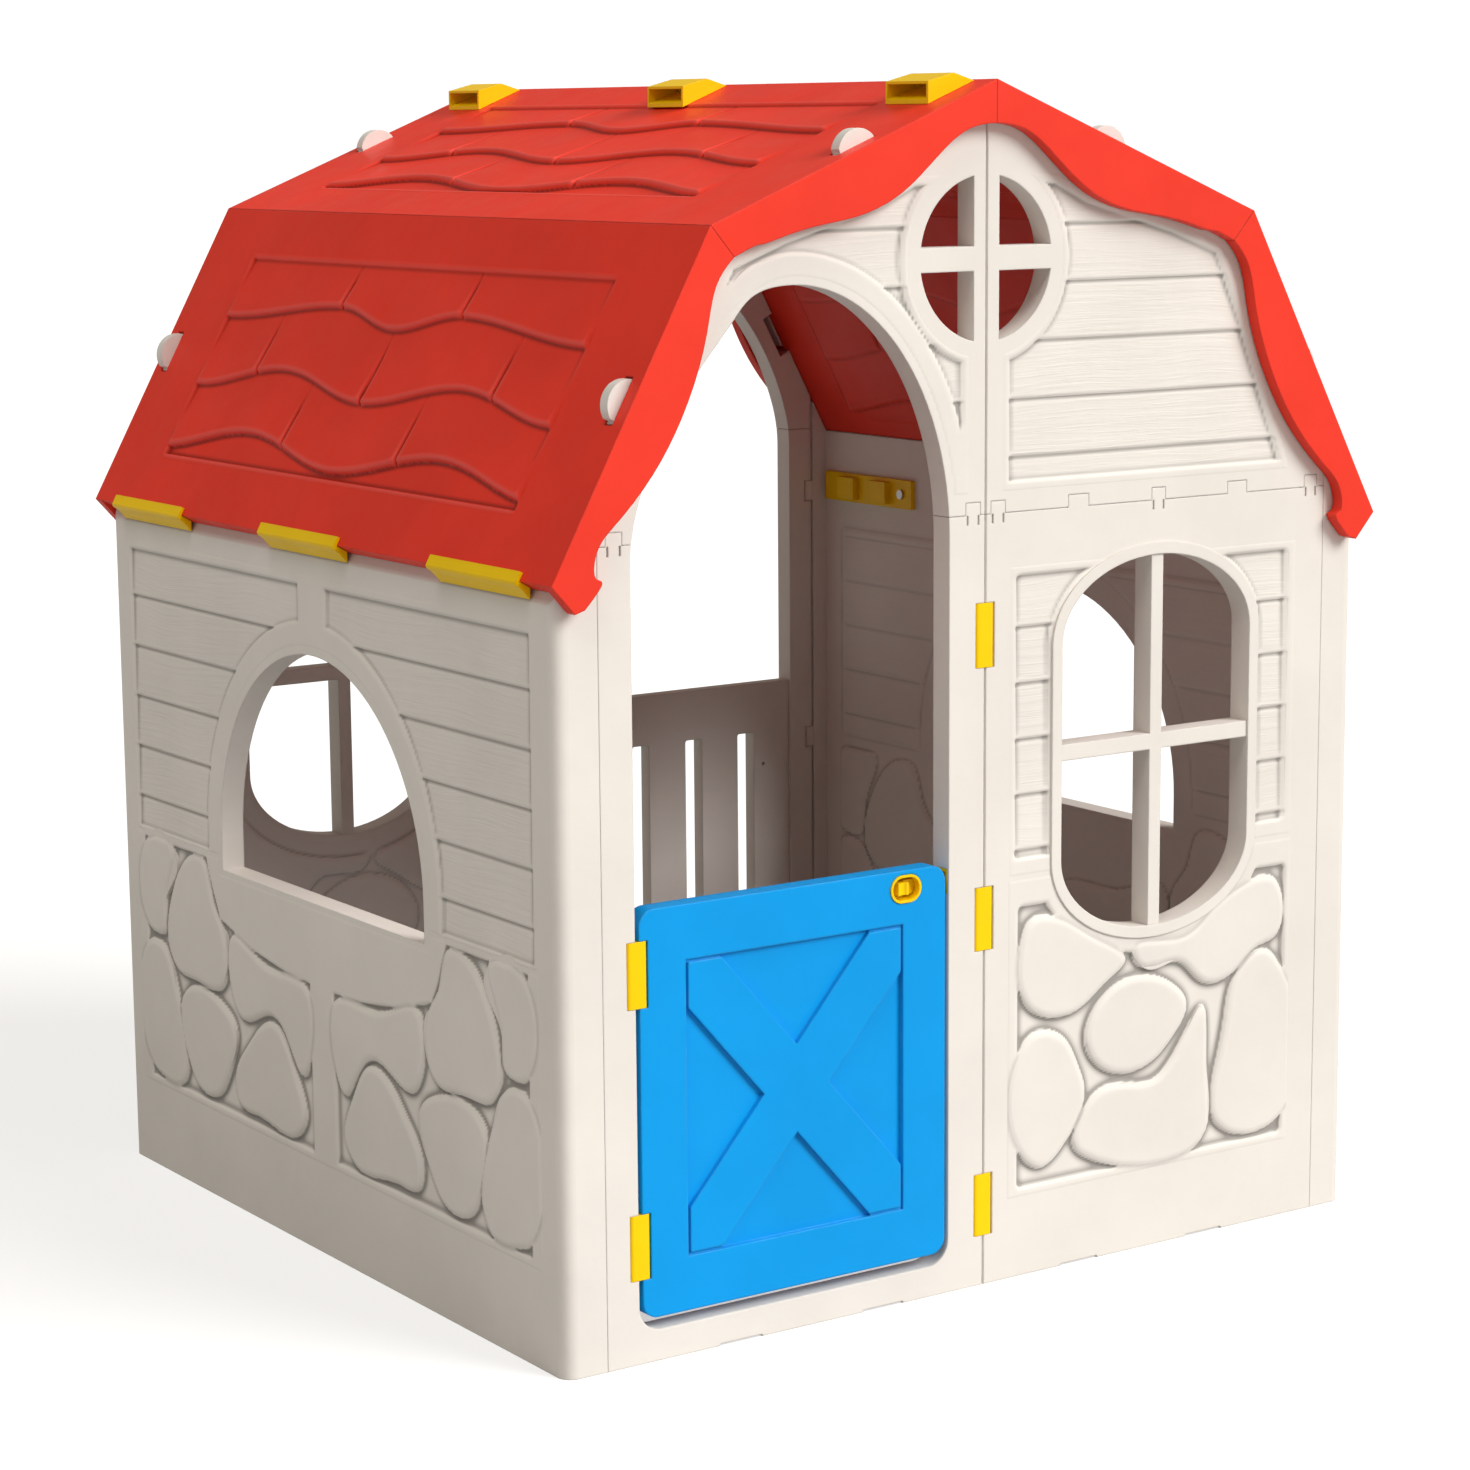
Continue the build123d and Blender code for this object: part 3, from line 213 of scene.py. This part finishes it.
# ---------------------------------------------------------------- relief
# All relief is worked out in millimetres on flat grids and scaled to metres when placed.
MM = 0.001
FINE, EVEN, PLAIN, WIDE = 1.5, 2.25, 2.75, 3.5      # spacings of the relief grids
LIFT = 0.25              # the relief stands this far proud of the plain CAD faces
SINK = 0.9               # its borders dip this far below them, so no edge shows
DIP = 4.0                # width of the strip in which they dip
SLOPE = 4.6              # width of the soft slope round a raised shape
STONE_SLOPE = 2.6        # width of the slope beside a stone
PILLOW = 1.5             # how far a stone rises from its edge to its flat top
CHANNEL = 3.4            # depth of the channels between stones
BOARD = 54.7             # height of a siding board
SHADE_REACH = 3.5             # reach of the mean that tells a hollow from a ridge, for the painted shade in channels and the painted highlight on ridges
BOARD_FLOOR = -3.2       # depth of a board's upper edge
INNER = 2.2              # height of the stones on the inner faces

WALL_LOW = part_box("left_side_wall")[0]
SIDE_X = WALL_LOW[0] / MM            # outer face of the left side wall
FRONT_Y = WALL_LOW[1] / MM           # outer face of the front
WALL_T = 25.0            # thickness of every wall
ROOF_T = 18.0            # thickness of a roof panel


def smooth(value):
    """0 below 0, 1 above 1, and a smooth S between."""
    t = np.clip(value, 0.0, 1.0)
    return t * t * (3.0 - 2.0 * t)


def spline_points(start, end, bend_start, bend_end, h, steps):
    """Points on the cubic pieces between start and end, from the second derivatives there."""
    t = (np.arange(steps) / steps)[None, :, None]
    h = h[:, None, None]
    curve = (1 - t) * start[:, None, :] + t * end[:, None, :]
    from_start = ((1 - t) ** 3 - (1 - t)) * bend_start[:, None, :]
    from_end = (t**3 - t) * bend_end[:, None, :]
    curve += h**2 / 6 * (from_start + from_end)
    return curve.reshape(-1, 2)


def closed_curve(points, steps=12):
    """The smooth closed curve through some points: a periodic cubic spline whose second
    derivatives solve the usual cyclic equations, with chord lengths as the parameter."""
    p = np.array(points, float)
    n = len(p)
    h = np.linalg.norm(np.roll(p, -1, 0) - p, axis=1)
    a = np.zeros((n, n))
    b = np.zeros((n, 2))
    for i in range(n):
        before, after = h[i - 1], h[i]
        a[i, i - 1] += before
        a[i, i] += 2 * (before + after)
        a[i, (i + 1) % n] += after
        b[i] = 6 * ((p[(i + 1) % n] - p[i]) / after - (p[i] - p[i - 1]) / before)
    m = np.linalg.solve(a, b)
    return spline_points(p, np.roll(p, -1, 0), m, np.roll(m, -1, 0), h, steps)


def open_curve(points, start, end, steps=12):
    """The smooth curve through some points with a set direction at each end: a cubic spline
    with chord lengths as the parameter."""
    p = np.array(points, float)
    n = len(p)
    h = np.linalg.norm(p[1:] - p[:-1], axis=1)
    slope = (p[1:] - p[:-1]) / h[:, None]
    a = np.zeros((n, n))
    b = np.zeros((n, 2))
    a[0, :2] = 2 * h[0], h[0]
    a[-1, -2:] = h[-1], 2 * h[-1]
    b[0] = 6 * (slope[0] - np.array(start))
    b[-1] = 6 * (np.array(end) - slope[-1])
    for i in range(1, n - 1):
        a[i, i - 1:i + 2] = h[i - 1], 2 * (h[i - 1] + h[i]), h[i]
        b[i] = 6 * (slope[i] - slope[i - 1])
    m = np.linalg.solve(a, b)
    return spline_points(p[:-1], p[1:], m[:-1], m[1:], h, steps)


def outline_distance(u, v, loop):
    """Distance to a closed outline, negative inside it."""
    best = np.full(u.shape, 1e9)
    inside = np.zeros(u.shape, bool)
    for (x0, y0), (x1, y1) in zip(loop, np.roll(loop, -1, 0)):
        dx, dy = x1 - x0, y1 - y0
        t = np.clip(((u - x0) * dx + (v - y0) * dy) / (dx * dx + dy * dy + 1e-12), 0, 1)
        best = np.minimum(best, (u - x0 - t * dx) ** 2 + (v - y0 - t * dy) ** 2)
        crosses = (y0 > v) != (y1 > v)
        inside ^= crosses & (u < x0 + (v - y0) * dx / (dy if dy else 1e-12))
    return np.where(inside, -1.0, 1.0) * np.sqrt(best)


def box_distance(u, v, u0, u1, v0, v1, radius=0.0):
    """Distance to an upright rectangle with rounded corners, negative inside it."""
    a = np.abs(u - (u0 + u1) / 2) - (u1 - u0) / 2 + radius
    b = np.abs(v - (v0 + v1) / 2) - (v1 - v0) / 2 + radius
    return np.hypot(np.maximum(a, 0), np.maximum(b, 0)) + np.minimum(np.maximum(a, b), 0) - radius


def add_mesh(name, points, faces, slot, body, grain, relief_shade):
    """Puts a mesh into the scene, smooth shaded, and lets it ride on its body."""
    mesh = bpy.data.meshes.new(name)
    mesh.vertices.add(len(points))
    mesh.vertices.foreach_set("co", (points * MM).astype(np.float32).ravel())
    mesh.loops.add(faces.size)
    mesh.loops.foreach_set("vertex_index", faces.astype(np.int32).ravel())
    mesh.polygons.add(len(faces))
    mesh.polygons.foreach_set("loop_start", np.arange(0, faces.size, 4, dtype=np.int32))
    mesh.polygons.foreach_set("use_smooth", np.ones(len(faces), bool))
    mesh.update(calc_edges=True)
    # the second attribute carries the relief's painted shade in channels and painted highlight on
    # ridges
    for key, values in (("grain", grain), ("relief_shade", relief_shade)):
        mesh.attributes.new(key, "FLOAT", "POINT").data.foreach_set("value", values.astype(np.float32))
    mesh.materials.append(RELIEF_FINISH_AND_SHADE[slot])
    made = bpy.data.objects.new(name, mesh)
    bpy.context.scene.collection.objects.link(made)
    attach(made, body)
    return made


def blurred(values, reach):
    """The mean over a window of a few cells each way, taken twice."""
    for _ in range(2):
        for axis, cells in enumerate(reach):
            pad = [(0, 0), (0, 0)]
            pad[axis] = (cells + 1, cells)
            total = np.cumsum(np.pad(values, pad, mode="edge"), axis=axis)
            width = 2 * cells + 1
            high = np.take(total, range(width, total.shape[axis]), axis=axis)
            low = np.take(total, range(0, total.shape[axis] - width), axis=axis)
            values = (high - low) / width
    return values


def relief(name, span_u, span_v, steps, shape, place, outward, slot, body):
    """A sheet whose height over a flat grid is given by shape(u, v), which returns the height,
    the distance to its border (negative inside) and the share of wood grain. Along its border
    it dips below the face that it lies on. place(u, v, height) gives the points in space."""
    u = np.arange(span_u[0], span_u[1] + steps[0], steps[0])
    v = np.arange(span_v[0], span_v[1] + steps[1], steps[1])
    u, v = np.meshgrid(u, v, indexing="ij")
    height, border, grain = shape(u, v)
    # how far each point lies below the mean of its neighbours, kept to paint shade into channels and a
    # highlight onto ridges
    reach = [max(1, int(round(SHADE_REACH / step))) for step in steps]
    relief_shade = blurred(height, reach) - height
    dip = LIFT - (LIFT + SINK) * smooth(1 + border / DIP)
    height = np.where(border > -DIP, np.minimum(height, dip), height)
    keep = border < 0.5
    cells = keep[:-1, :-1] & keep[1:, :-1] & keep[1:, 1:] & keep[:-1, 1:]
    number = np.arange(u.size).reshape(u.shape)
    quads = np.stack([number[:-1, :-1], number[1:, :-1], number[1:, 1:], number[:-1, 1:]], -1)[cells]
    points = place(u, v, height).reshape(-1, 3)
    a, b, c = points[quads[0, 0]], points[quads[0, 1]], points[quads[0, 2]]
    if np.dot(np.cross(b - a, c - a), outward) < 0:
        quads = quads[:, ::-1]
    used, packed = np.unique(quads, return_inverse=True)
    faces = packed.reshape(quads.shape)
    shares = grain.ravel()[used], relief_shade.ravel()[used]
    return add_mesh(name, points[used], faces, slot, body, *shares)


def boards(v, top):
    """Height of clapboards counted down from top: each leans out to its lower edge and
    ends in a narrow groove."""
    down = (top - v) / BOARD
    share = down - np.floor(down)
    edge = np.minimum(share, 1 - share) * BOARD
    groove = (1 - smooth((edge - 0.7) / 2.6)) * (down > 0.3)
    return (0.1 + 1.7 * share) * (1 - groove) - 0.5 * groove


def carve(height, field, floor):
    """Lowers the height to a floor inside a field, with a soft slope along its border."""
    share = smooth((-field - 0.5) / SLOPE)
    return height * (1 - share) + floor * share


def raise_stones(height, u, v, stones):
    """Flat stones with soft slopes, back up at the level of the frame."""
    for points in stones:
        loop = closed_curve(points)
        lo, hi = loop.min(0) - 9, loop.max(0) + 9
        near = (u > lo[0]) & (u < hi[0]) & (v > lo[1]) & (v < hi[1])
        d = outline_distance(u[near], v[near], loop)
        share = 1 - smooth((d - 0.3) / STONE_SLOPE)
        top = LIFT + PILLOW * smooth(-d / 5.0)
        height[near] = np.maximum(height[near], top * share + height[near] * (1 - share))
    return height


# stone outlines, a few points across and up from the middle of the wall or the panel's inner edge
SIDE_STONES = [
    [(30, 270), (80, 276), (140, 282), (196, 294), (200, 232),
     (182, 211), (118, 226), (88, 219), (42, 178), (28, 196)],
    [(220, 300), (238, 322), (257, 364), (287, 365), (312, 350),
     (340, 310), (349, 255), (330, 234), (290, 230), (222, 236)],
    [(332, 364), (398, 364), (398, 270),
     (380, 265), (359, 270), (354, 304)],
    [(108, 219), (125, 215), (170, 180), (198, 140), (192, 118),
     (150, 112), (56, 114), (43, 130), (58, 172)],
    [(198, 198), (228, 216), (280, 224), (320, 204),
     (308, 136), (288, 114), (240, 114), (214, 142)],
    [(362, 252), (396, 254), (396, 112), (378, 106),
     (324, 110), (314, 128), (334, 210)],
]
PANEL_STONES = [
    [(48, 283), (48, 342), (59, 357), (97, 354), (139, 330),
     (178, 300), (157, 285), (117, 260), (60, 268)],
    [(190, 309), (249, 315), (292, 338), (332, 358), (378, 358), (379, 299),
     (356, 292), (324, 270), (281, 266), (249, 291), (194, 298)],
    [(365, 287), (381, 275), (384, 104), (311, 107),
     (299, 120), (303, 176), (314, 223), (326, 264)],
    [(281, 238), (288, 178), (288, 108), (130, 108),
     (117, 119), (147, 172), (214, 171), (257, 210)],
    [(158, 272), (194, 282), (243, 266), (260, 245),
     (244, 216), (214, 192), (150, 196), (130, 227)],
    [(49, 233), (61, 242), (99, 234), (118, 204),
     (127, 179), (103, 127), (71, 107), (49, 121)],
]
APRON = [
    (23, 100), (404, 100), (404, 371), (252, 371), (238, 338),
    (222, 309), (150, 290), (80, 281), (23, 279),
]
SIDING_LOW, SIDING_TOP = 376.0, 684.6
SILL_Z, SIDE_ZC, SIDE_R, SIDE_RIM = 362.0, 400.0, 213.0, 30.0
EDGE_GAP = 6.0           # from an opening to the border of a sheet


def side_window(y, z, extra):
    """Distance to the side window, a half round arch over a short straight part."""
    arch = np.hypot(y, np.maximum(z - SIDE_ZC, 0)) - SIDE_R - extra
    return np.maximum(arch, (SILL_Z - 0.5 * extra) - z)


MEET = 374.0             # height where the siding sheet and the stone sheet overlap


def side_siding(y, z):
    """Upper half of a side wall's outer face: boards beside the window."""
    height = np.full(y.shape, LIFT)
    field = box_distance(y, z, -416, 416, SIDING_LOW, SIDING_TOP, 6)
    field = np.maximum(field, -side_window(y, z, SIDE_RIM))
    field = np.maximum(field, 26 - np.abs(y))
    height = carve(height, field, BOARD_FLOOR + boards(z, SIDING_TOP))
    border = np.maximum(box_distance(y, z, -424, 424, MEET, 694), -side_window(y, z, EDGE_GAP))
    return height, border, smooth(-field / 8)


def side_stones(y, z):
    """Lower half of a side wall's outer face: two aprons of stones."""
    apron = outline_distance(np.abs(y), z, APRON)
    height = carve(np.full(y.shape, LIFT), apron, -CHANNEL)
    height = raise_stones(height, np.abs(y), z, SIDE_STONES)
    border = np.maximum(box_distance(y, z, -424, 424, 91, MEET + 1), -side_window(y, z, EDGE_GAP))
    return height, border, np.zeros(y.shape)


WINDOW_X, WINDOW_A, WINDOW_Z0, WINDOW_Z1, WINDOW_END = 214.9, 121.0, 333.0, 706.0, 79.9
WINDOW_RIM, WINDOW_GAP = 12.0, 5.0
PANEL_TOP = 701.0        # top of the siding beside the front window


def window(x, z, extra):
    """Distance to the front window: straight sides with half ellipses above and below."""
    a, b = WINDOW_A + extra, WINDOW_END + extra
    low, high = WINDOW_Z0 + WINDOW_END, WINDOW_Z1 - WINDOW_END
    past = np.maximum(np.maximum(low - z, z - high), 0)
    across = np.abs(x - WINDOW_X)
    size = np.hypot(across / a, past / b)
    steep = np.hypot(across / a**2, past / b**2) / np.maximum(size, 1e-6)
    return (size - 1) / np.maximum(steep, 1e-6)


def siding_field(x, z):
    """Distance to the siding beside the front window."""
    return np.maximum(box_distance(x, z, 35, 389, 418, PANEL_TOP, 8), -window(x, z, WINDOW_RIM))


def stone_field(x, z):
    """Distance to the stones below the front window."""
    return np.maximum(box_distance(x, z, 40, 394, 87, 376, 8), -window(x, z, 2 * WINDOW_RIM))


def panel_siding(x, z):
    """Upper half of a window panel's outer face: boards beside the window."""
    field = siding_field(x, z)
    height = carve(np.full(x.shape, LIFT), field, BOARD_FLOOR + boards(z, PANEL_TOP))
    border = np.maximum(box_distance(x, z, 27, 402, 402, 709), -window(x, z, WINDOW_GAP))
    return height, border, smooth(-field / 8)


def panel_stones(x, z):
    """Lower half of a window panel's outer face: stones below the window."""
    height = carve(np.full(x.shape, LIFT), stone_field(x, z), -CHANNEL)
    height = raise_stones(height, x, z, PANEL_STONES)
    border = np.maximum(box_distance(x, z, 27, 402, 78, 403), -window(x, z, WINDOW_GAP))
    return height, border, np.zeros(x.shape)


ROUND_Z, RING_R = 999.8, 97.0       # middle of the round window and its ring's outer edge
ARCH_BAND = 26.0         # width of the flat band round the arch
GABLE_TOP = 1083.9       # the gable's boards are counted down from here
GABLE_FIELD = [
    (26.0, 786.0), (377.0, 786.0), (373.0, 798.0), (319.0, 934.9), (289.0, 999.9),
    (230.4, 1021.9), (124.8, 1051.9), (84.0, 1070.9), (26.0, 1070.9),
]
GABLE_EDGE = [
    (17, 777), (391, 777), (383, 800), (328, 941), (295, 1009),
    (233, 1031), (128, 1061), (86, 1080), (17, 1080),
]


def gable_shape(side):
    """Outer face of half a gable: siding that follows the roof, round the window's ring."""
    def shape(x, z):
        from_middle = np.hypot(x, z - ROUND_Z)
        field = np.maximum(outline_distance(x, z, GABLE_FIELD), RING_R - from_middle)
        border = np.maximum(outline_distance(x, z, GABLE_EDGE), RING_R - 7 - from_middle)
        if side < 0:
            field = np.maximum(field, -door_arch(x, z, ARCH_BAND))
            border = np.maximum(border, -door_arch(x, z, WINDOW_GAP))
        height = carve(np.full(x.shape, LIFT), field, BOARD_FLOOR + boards(z, GABLE_TOP))
        return height, border, smooth(-field / 8)

    return shape


# the doorway of the left half: straight legs, a haunch beside the roof and half of an ellipse
ARCH_X, ARCH_Z, ARCH_A, ARCH_B = 221.5, 740.0, 178.5, 242.0
HAUNCH = open_curve(
    [(400.0, 740.0), (389.3, 798.4), (341.7, 888.7), (287.2, 952.4), (221.5, 982.0)],
    start=(0, 1), end=(-1, 0),
)
BEND = np.linspace(math.pi / 2, math.pi, 30)
ROUND = np.stack([ARCH_X + ARCH_A * np.cos(BEND), ARCH_Z + ARCH_B * np.sin(BEND)], -1)
DOORWAY = np.concatenate([[(400.0, 600.0)], HAUNCH, ROUND, [(43.0, 600.0)]])


def door_arch(x, z, extra):
    """Distance to the arched doorway of the left half, grown by an extra width."""
    return outline_distance(x, z, DOORWAY) - extra


# ---- roof tiles ----
RIDGE, KNEE, EAVE = np.array([0.0, 1165.0]), np.array([321.02, 1037.92]), np.array([491.0, 730.0])
ROW_SIDE = 361.0         # half the width of the recess with the tiles
ROW_FIRST, ROW_LAST = 0.157, 0.823   # its ends, as shares of the slope
ROW_FLOOR = -3.8         # its floor
TILE_START, TILE_LEAN = -2.4, 5.4    # a tile's upper edge, and how far it leans out from there
TILE_ROUND = 5.2         # how far its lower edge rounds off
ROW_GAP = 1.5


def tile_rows(s, y, first, last):
    """Height of three rows of tiles: each row leans out to a wavy rounded lower edge and is
    parted by narrow joints."""
    near = np.abs(y)
    bend = np.where(near < 120, math.pi * near / 120, math.pi + math.pi * (near - 120) / 240)
    edges = [
        116 + 10 * np.cos(bend),
        193 + 13 * np.cos(2 * math.pi * y / 360),
        266 + 14 * np.cos(2 * math.pi * y / 390),
    ]
    joints = [(-120, 120), (-240, 0, 240), (-117, 117)]
    height = np.full(s.shape, ROW_FLOOR)
    top = np.full(s.shape, first)
    for edge, cuts in zip(edges, joints):
        share = np.clip((s - top) / (edge - top), 0, 1)
        tile = TILE_START + TILE_LEAN * share**1.3
        tile -= TILE_ROUND * smooth((s - edge + 5.0) / 6.5) ** 2
        for cut in cuts:
            gap = np.abs(y - cut - 0.04 * (s - edge))
            tile -= (tile + 2.7) * (1 - smooth((gap - 0.8) / 2.2))
        height = np.where((s >= top) & (s <= edge + ROW_GAP), tile, height)
        top = edge + ROW_GAP
    return height


def roof_shape(length):
    """The top of a roof panel: rows of tiles in a shallow recess."""
    first, last = ROW_FIRST * length, ROW_LAST * length

    def shape(s, y):
        height = np.full(s.shape, LIFT)
        field = box_distance(s, y, first, last, -ROW_SIDE, ROW_SIDE)
        inner = tile_rows(s, y, first, last)
        share = smooth((-field - 0.3) / 3.0)
        height = height * (1 - share) + inner * share
        border = box_distance(s, y, first - 7, last + 7, -ROW_SIDE - 7, ROW_SIDE + 7)
        return height, border, np.zeros(s.shape)

    return shape


def roof_inner(length):
    """The underside of a roof panel: the rows of tiles show as low steps."""
    first, last = ROW_FIRST * length, ROW_LAST * length

    def shape(s, y):
        field = box_distance(s, y, first, last, -ROW_SIDE, ROW_SIDE)
        rows = tile_rows(s, y, first, last)
        height = LIFT + smooth((-field - 0.3) / 3.0) * (0.3 + 0.45 * (rows - ROW_FLOOR))
        border = box_distance(s, y, first - 5, last + 5, -ROW_SIDE - 7, ROW_SIDE + 7)
        return height, border, np.zeros(s.shape)

    return shape


def inner_side(y, z):
    """Inner face of a side wall: low boards above and flat raised stones below."""
    height = np.full(y.shape, LIFT)
    field = np.maximum(box_distance(y, z, -400, 400, 384, 640, 6), -side_window(y, z, SIDE_RIM))
    share = smooth((-field - 0.5) / SLOPE)
    height += share * (1.0 + 0.6 * boards(z, SIDING_TOP))
    stones = raise_stones(np.full(y.shape, -CHANNEL), np.abs(y), z, SIDE_STONES)
    inside = smooth((-outline_distance(np.abs(y), z, APRON) - 0.5) / SLOPE)
    height += inside * INNER * (stones + CHANNEL) / (LIFT + CHANNEL)
    border = np.maximum(box_distance(y, z, -408, 408, 91, 648), -side_window(y, z, EDGE_GAP))
    return height, border, smooth(-field / 8)


def inner_panel(x, z):
    """Inner face of a window panel, as on the side walls."""
    height = np.full(x.shape, LIFT)
    field = siding_field(x, z)
    height += smooth((-field - 0.5) / SLOPE) * (1.0 + 0.6 * boards(z, PANEL_TOP))
    stones = raise_stones(np.full(x.shape, -CHANNEL), x, z, PANEL_STONES)
    inside = smooth((-stone_field(x, z) - 0.5) / SLOPE)
    height += inside * INNER * (stones + CHANNEL) / (LIFT + CHANNEL)
    border = np.maximum(box_distance(x, z, 27, 402, 78, 709), -window(x, z, WINDOW_GAP))
    return height, border, smooth(-field / 8)


def turn(points, half):
    """Half a turn about the upright axis, for the back and the right."""
    return points * np.array([-1.0, -1.0, 1.0]) if half else points


def side_reliefs(body, half):
    """The sheets on a side wall: boards and stones outside, both together inside."""
    out = turn(np.array([-1.0, 0, 0]), half)

    def place(y, z, h):
        return turn(np.stack([SIDE_X - h, y, z], -1), half)

    def place_in(y, z, h):
        return turn(np.stack([SIDE_X + WALL_T + h, y, z], -1), half)

    def sheet(end, *shape_and_place):
        relief(body + end, *shape_and_place, "wall_cream", body)

    sheet("_boards", (-425, 425), (MEET - 1, 695), (WIDE, FINE), side_siding, place, out)
    sheet("_stones", (-425, 425), (90, MEET + 2), (EVEN, EVEN), side_stones, place, out)
    sheet("_inner", (-410, 410), (90, 650), (WIDE, PLAIN), inner_side, place_in, -out)


def front_reliefs(name, body, other, half):
    """The sheets on a front or a back: body is the half with the window, other the half
    with the arch."""
    out = turn(np.array([0, -1.0, 0]), half)
    across, lower, upper = (26, 403), (77, 404), (776, 1081)
    grid = (WIDE, FINE)

    def place(x, z, h):
        return turn(np.stack([x, FRONT_Y - h, z], -1), half)

    def place_in(x, z, h):
        return turn(np.stack([x, FRONT_Y + WALL_T + h, z], -1), half)

    def place_left(x, z, h):
        return turn(np.stack([-x, FRONT_Y - h, z], -1), half)

    def sheet(end, *shape_and_place, rides_on=body):
        relief(name + end, *shape_and_place, "wall_cream", rides_on)

    sheet("_panel_boards", across, (401, 710), grid, panel_siding, place, out)
    sheet("_panel_stones", across, lower, (EVEN, EVEN), panel_stones, place, out)
    sheet("_panel_inner", across, (77, 710), (PLAIN, PLAIN), inner_panel, place_in, -out)
    sheet("_gable_boards", (16, 392), upper, grid, gable_shape(1), place, out)
    sheet("_arch_boards", (16, 392), upper, grid, gable_shape(-1), place_left, out, rides_on=other)


def roof_reliefs(name, start, end, side, sign):
    """The sheets on one roof panel, which runs from start down to end in X and Z."""
    length = float(np.linalg.norm(end - start))
    dx, dz = (end - start) / length
    out = np.array([sign * -dz, 0, dx])
    down = (ROW_FIRST * length - 8, ROW_LAST * length + 8)
    across = (-370, 370)

    def place(s, y, h):
        return np.stack([sign * (start[0] + s * dx - h * dz), y, start[1] + s * dz + h * dx], -1)

    def place_in(s, y, h):
        return place(s, y, -ROOF_T - h)

    def sheet(end_of_name, *shape_and_place):
        relief(f"roof_{side}_{name}" + end_of_name, *shape_and_place, "roof_red", "roof")

    sheet("_inner", down, across, (PLAIN, WIDE), roof_inner(length), place_in, -out)
    sheet("_tiles", down, across, (FINE, WIDE), roof_shape(length), place, out)


def all_reliefs():
    side_reliefs("left_side", False)
    side_reliefs("right_side", True)
    front_reliefs("front", "front_right", "front_left", False)
    front_reliefs("back", "back_left", "back_right", True)
    for name, start, end in (("upper", RIDGE, KNEE), ("lower", KNEE, EAVE)):
        for side, sign in (("right", 1.0), ("left", -1.0)):
            roof_reliefs(name, start, end, side, sign)


# ---------------------------------------------------------------- stage
def floor():
    """A wide pale floor with a faint glow of its own, so that shadows on it stay light."""
    size = 40.0
    corners = [(-size, -size, 0), (size, -size, 0), (size, size, 0), (-size, size, 0)]
    mesh = bpy.data.meshes.new("floor")
    mesh.from_pydata(corners, [], [(0, 1, 2, 3)])
    made = bpy.data.objects.new("floor", mesh)
    bpy.context.scene.collection.objects.link(made)
    g = Graph("pale_floor")
    cloud = g.noise(g.place, 1.3, 3.0)
    base = g.mix(cloud, (0.49, 0.49, 0.49, 1.0), (0.51, 0.51, 0.51, 1.0))
    g.link(base, g.shader.inputs["Base Color"])
    g.shader.inputs["Roughness"].default_value = 0.8
    g.shader.inputs["Emission Color"].default_value = (1.0, 1.0, 1.0, 1.0)
    seen = g.node("ShaderNodeLightPath").outputs["Is Camera Ray"]
    g.link(g.math("MULTIPLY", seen, 0.56), g.shader.inputs["Emission Strength"])
    mesh.materials.append(g.material)


def soft_sun(name, towards, strength, spread, colour):
    """A distant lamp in a direction, soft by its angular size in degrees."""
    data = bpy.data.lights.new(name, "SUN")
    data.energy = strength
    data.angle = math.radians(spread)
    data.color = colour
    made = bpy.data.objects.new(name, data)
    made.rotation_euler = (-Vector(towards)).to_track_quat("-Z", "Y").to_euler()
    bpy.context.scene.collection.objects.link(made)


def surroundings():
    """White where it is seen directly, and an even warm grey for lighting."""
    world = bpy.data.worlds.new("studio")
    bpy.context.scene.world = world
    world.use_nodes = True
    tree = world.node_tree
    tree.nodes.clear()
    out = tree.nodes.new("ShaderNodeOutputWorld")
    seen = tree.nodes.new("ShaderNodeBackground")
    lit = tree.nodes.new("ShaderNodeBackground")
    seen.inputs["Color"].default_value = (1, 1, 1, 1)
    seen.inputs["Strength"].default_value = 1.05
    lit.inputs["Color"].default_value = (1.0, 0.93, 0.82, 1)
    lit.inputs["Strength"].default_value = 0.27
    ray = tree.nodes.new("ShaderNodeLightPath")
    mix = tree.nodes.new("ShaderNodeMixShader")
    tree.links.new(ray.outputs["Is Camera Ray"], mix.inputs[0])
    tree.links.new(lit.outputs[0], mix.inputs[1])
    tree.links.new(seen.outputs[0], mix.inputs[2])
    tree.links.new(mix.outputs[0], out.inputs["Surface"])


def camera():
    """Eye height a little under the ridge, seen from the left of the front."""
    yaw, pitch, roll = math.radians(34.23), math.radians(-9.72), math.radians(-0.456)
    level = math.cos(pitch)
    ahead = Vector((math.sin(yaw) * level, math.cos(yaw) * level, math.sin(pitch)))
    right = Vector((math.cos(yaw), -math.sin(yaw), 0.0))
    up = right.cross(ahead)
    tilted_right = right * math.cos(roll) + up * math.sin(roll)
    tilted_up = up * math.cos(roll) - right * math.sin(roll)
    facing = Matrix((tilted_right, tilted_up, -ahead)).transposed().to_4x4()
    data = bpy.data.cameras.new("camera")
    data.sensor_width = 36.0
    data.lens = 88.07
    data.clip_end = 200.0
    made = bpy.data.objects.new("camera", data)
    made.matrix_world = Matrix.Translation((-2.1050, -3.1272, 1.1301)) @ facing
    bpy.context.scene.collection.objects.link(made)
    bpy.context.scene.camera = made


all_reliefs()
floor()
surroundings()
camera()
soft_sun("key", (0.46, -0.70, 0.55), 3.25, 34.0, (1.0, 0.985, 0.965))
soft_sun("top", (-0.45, -0.22, 0.86), 1.15, 30.0, (1.0, 0.97, 0.92))
bpy.context.scene.view_settings.view_transform = "Standard"
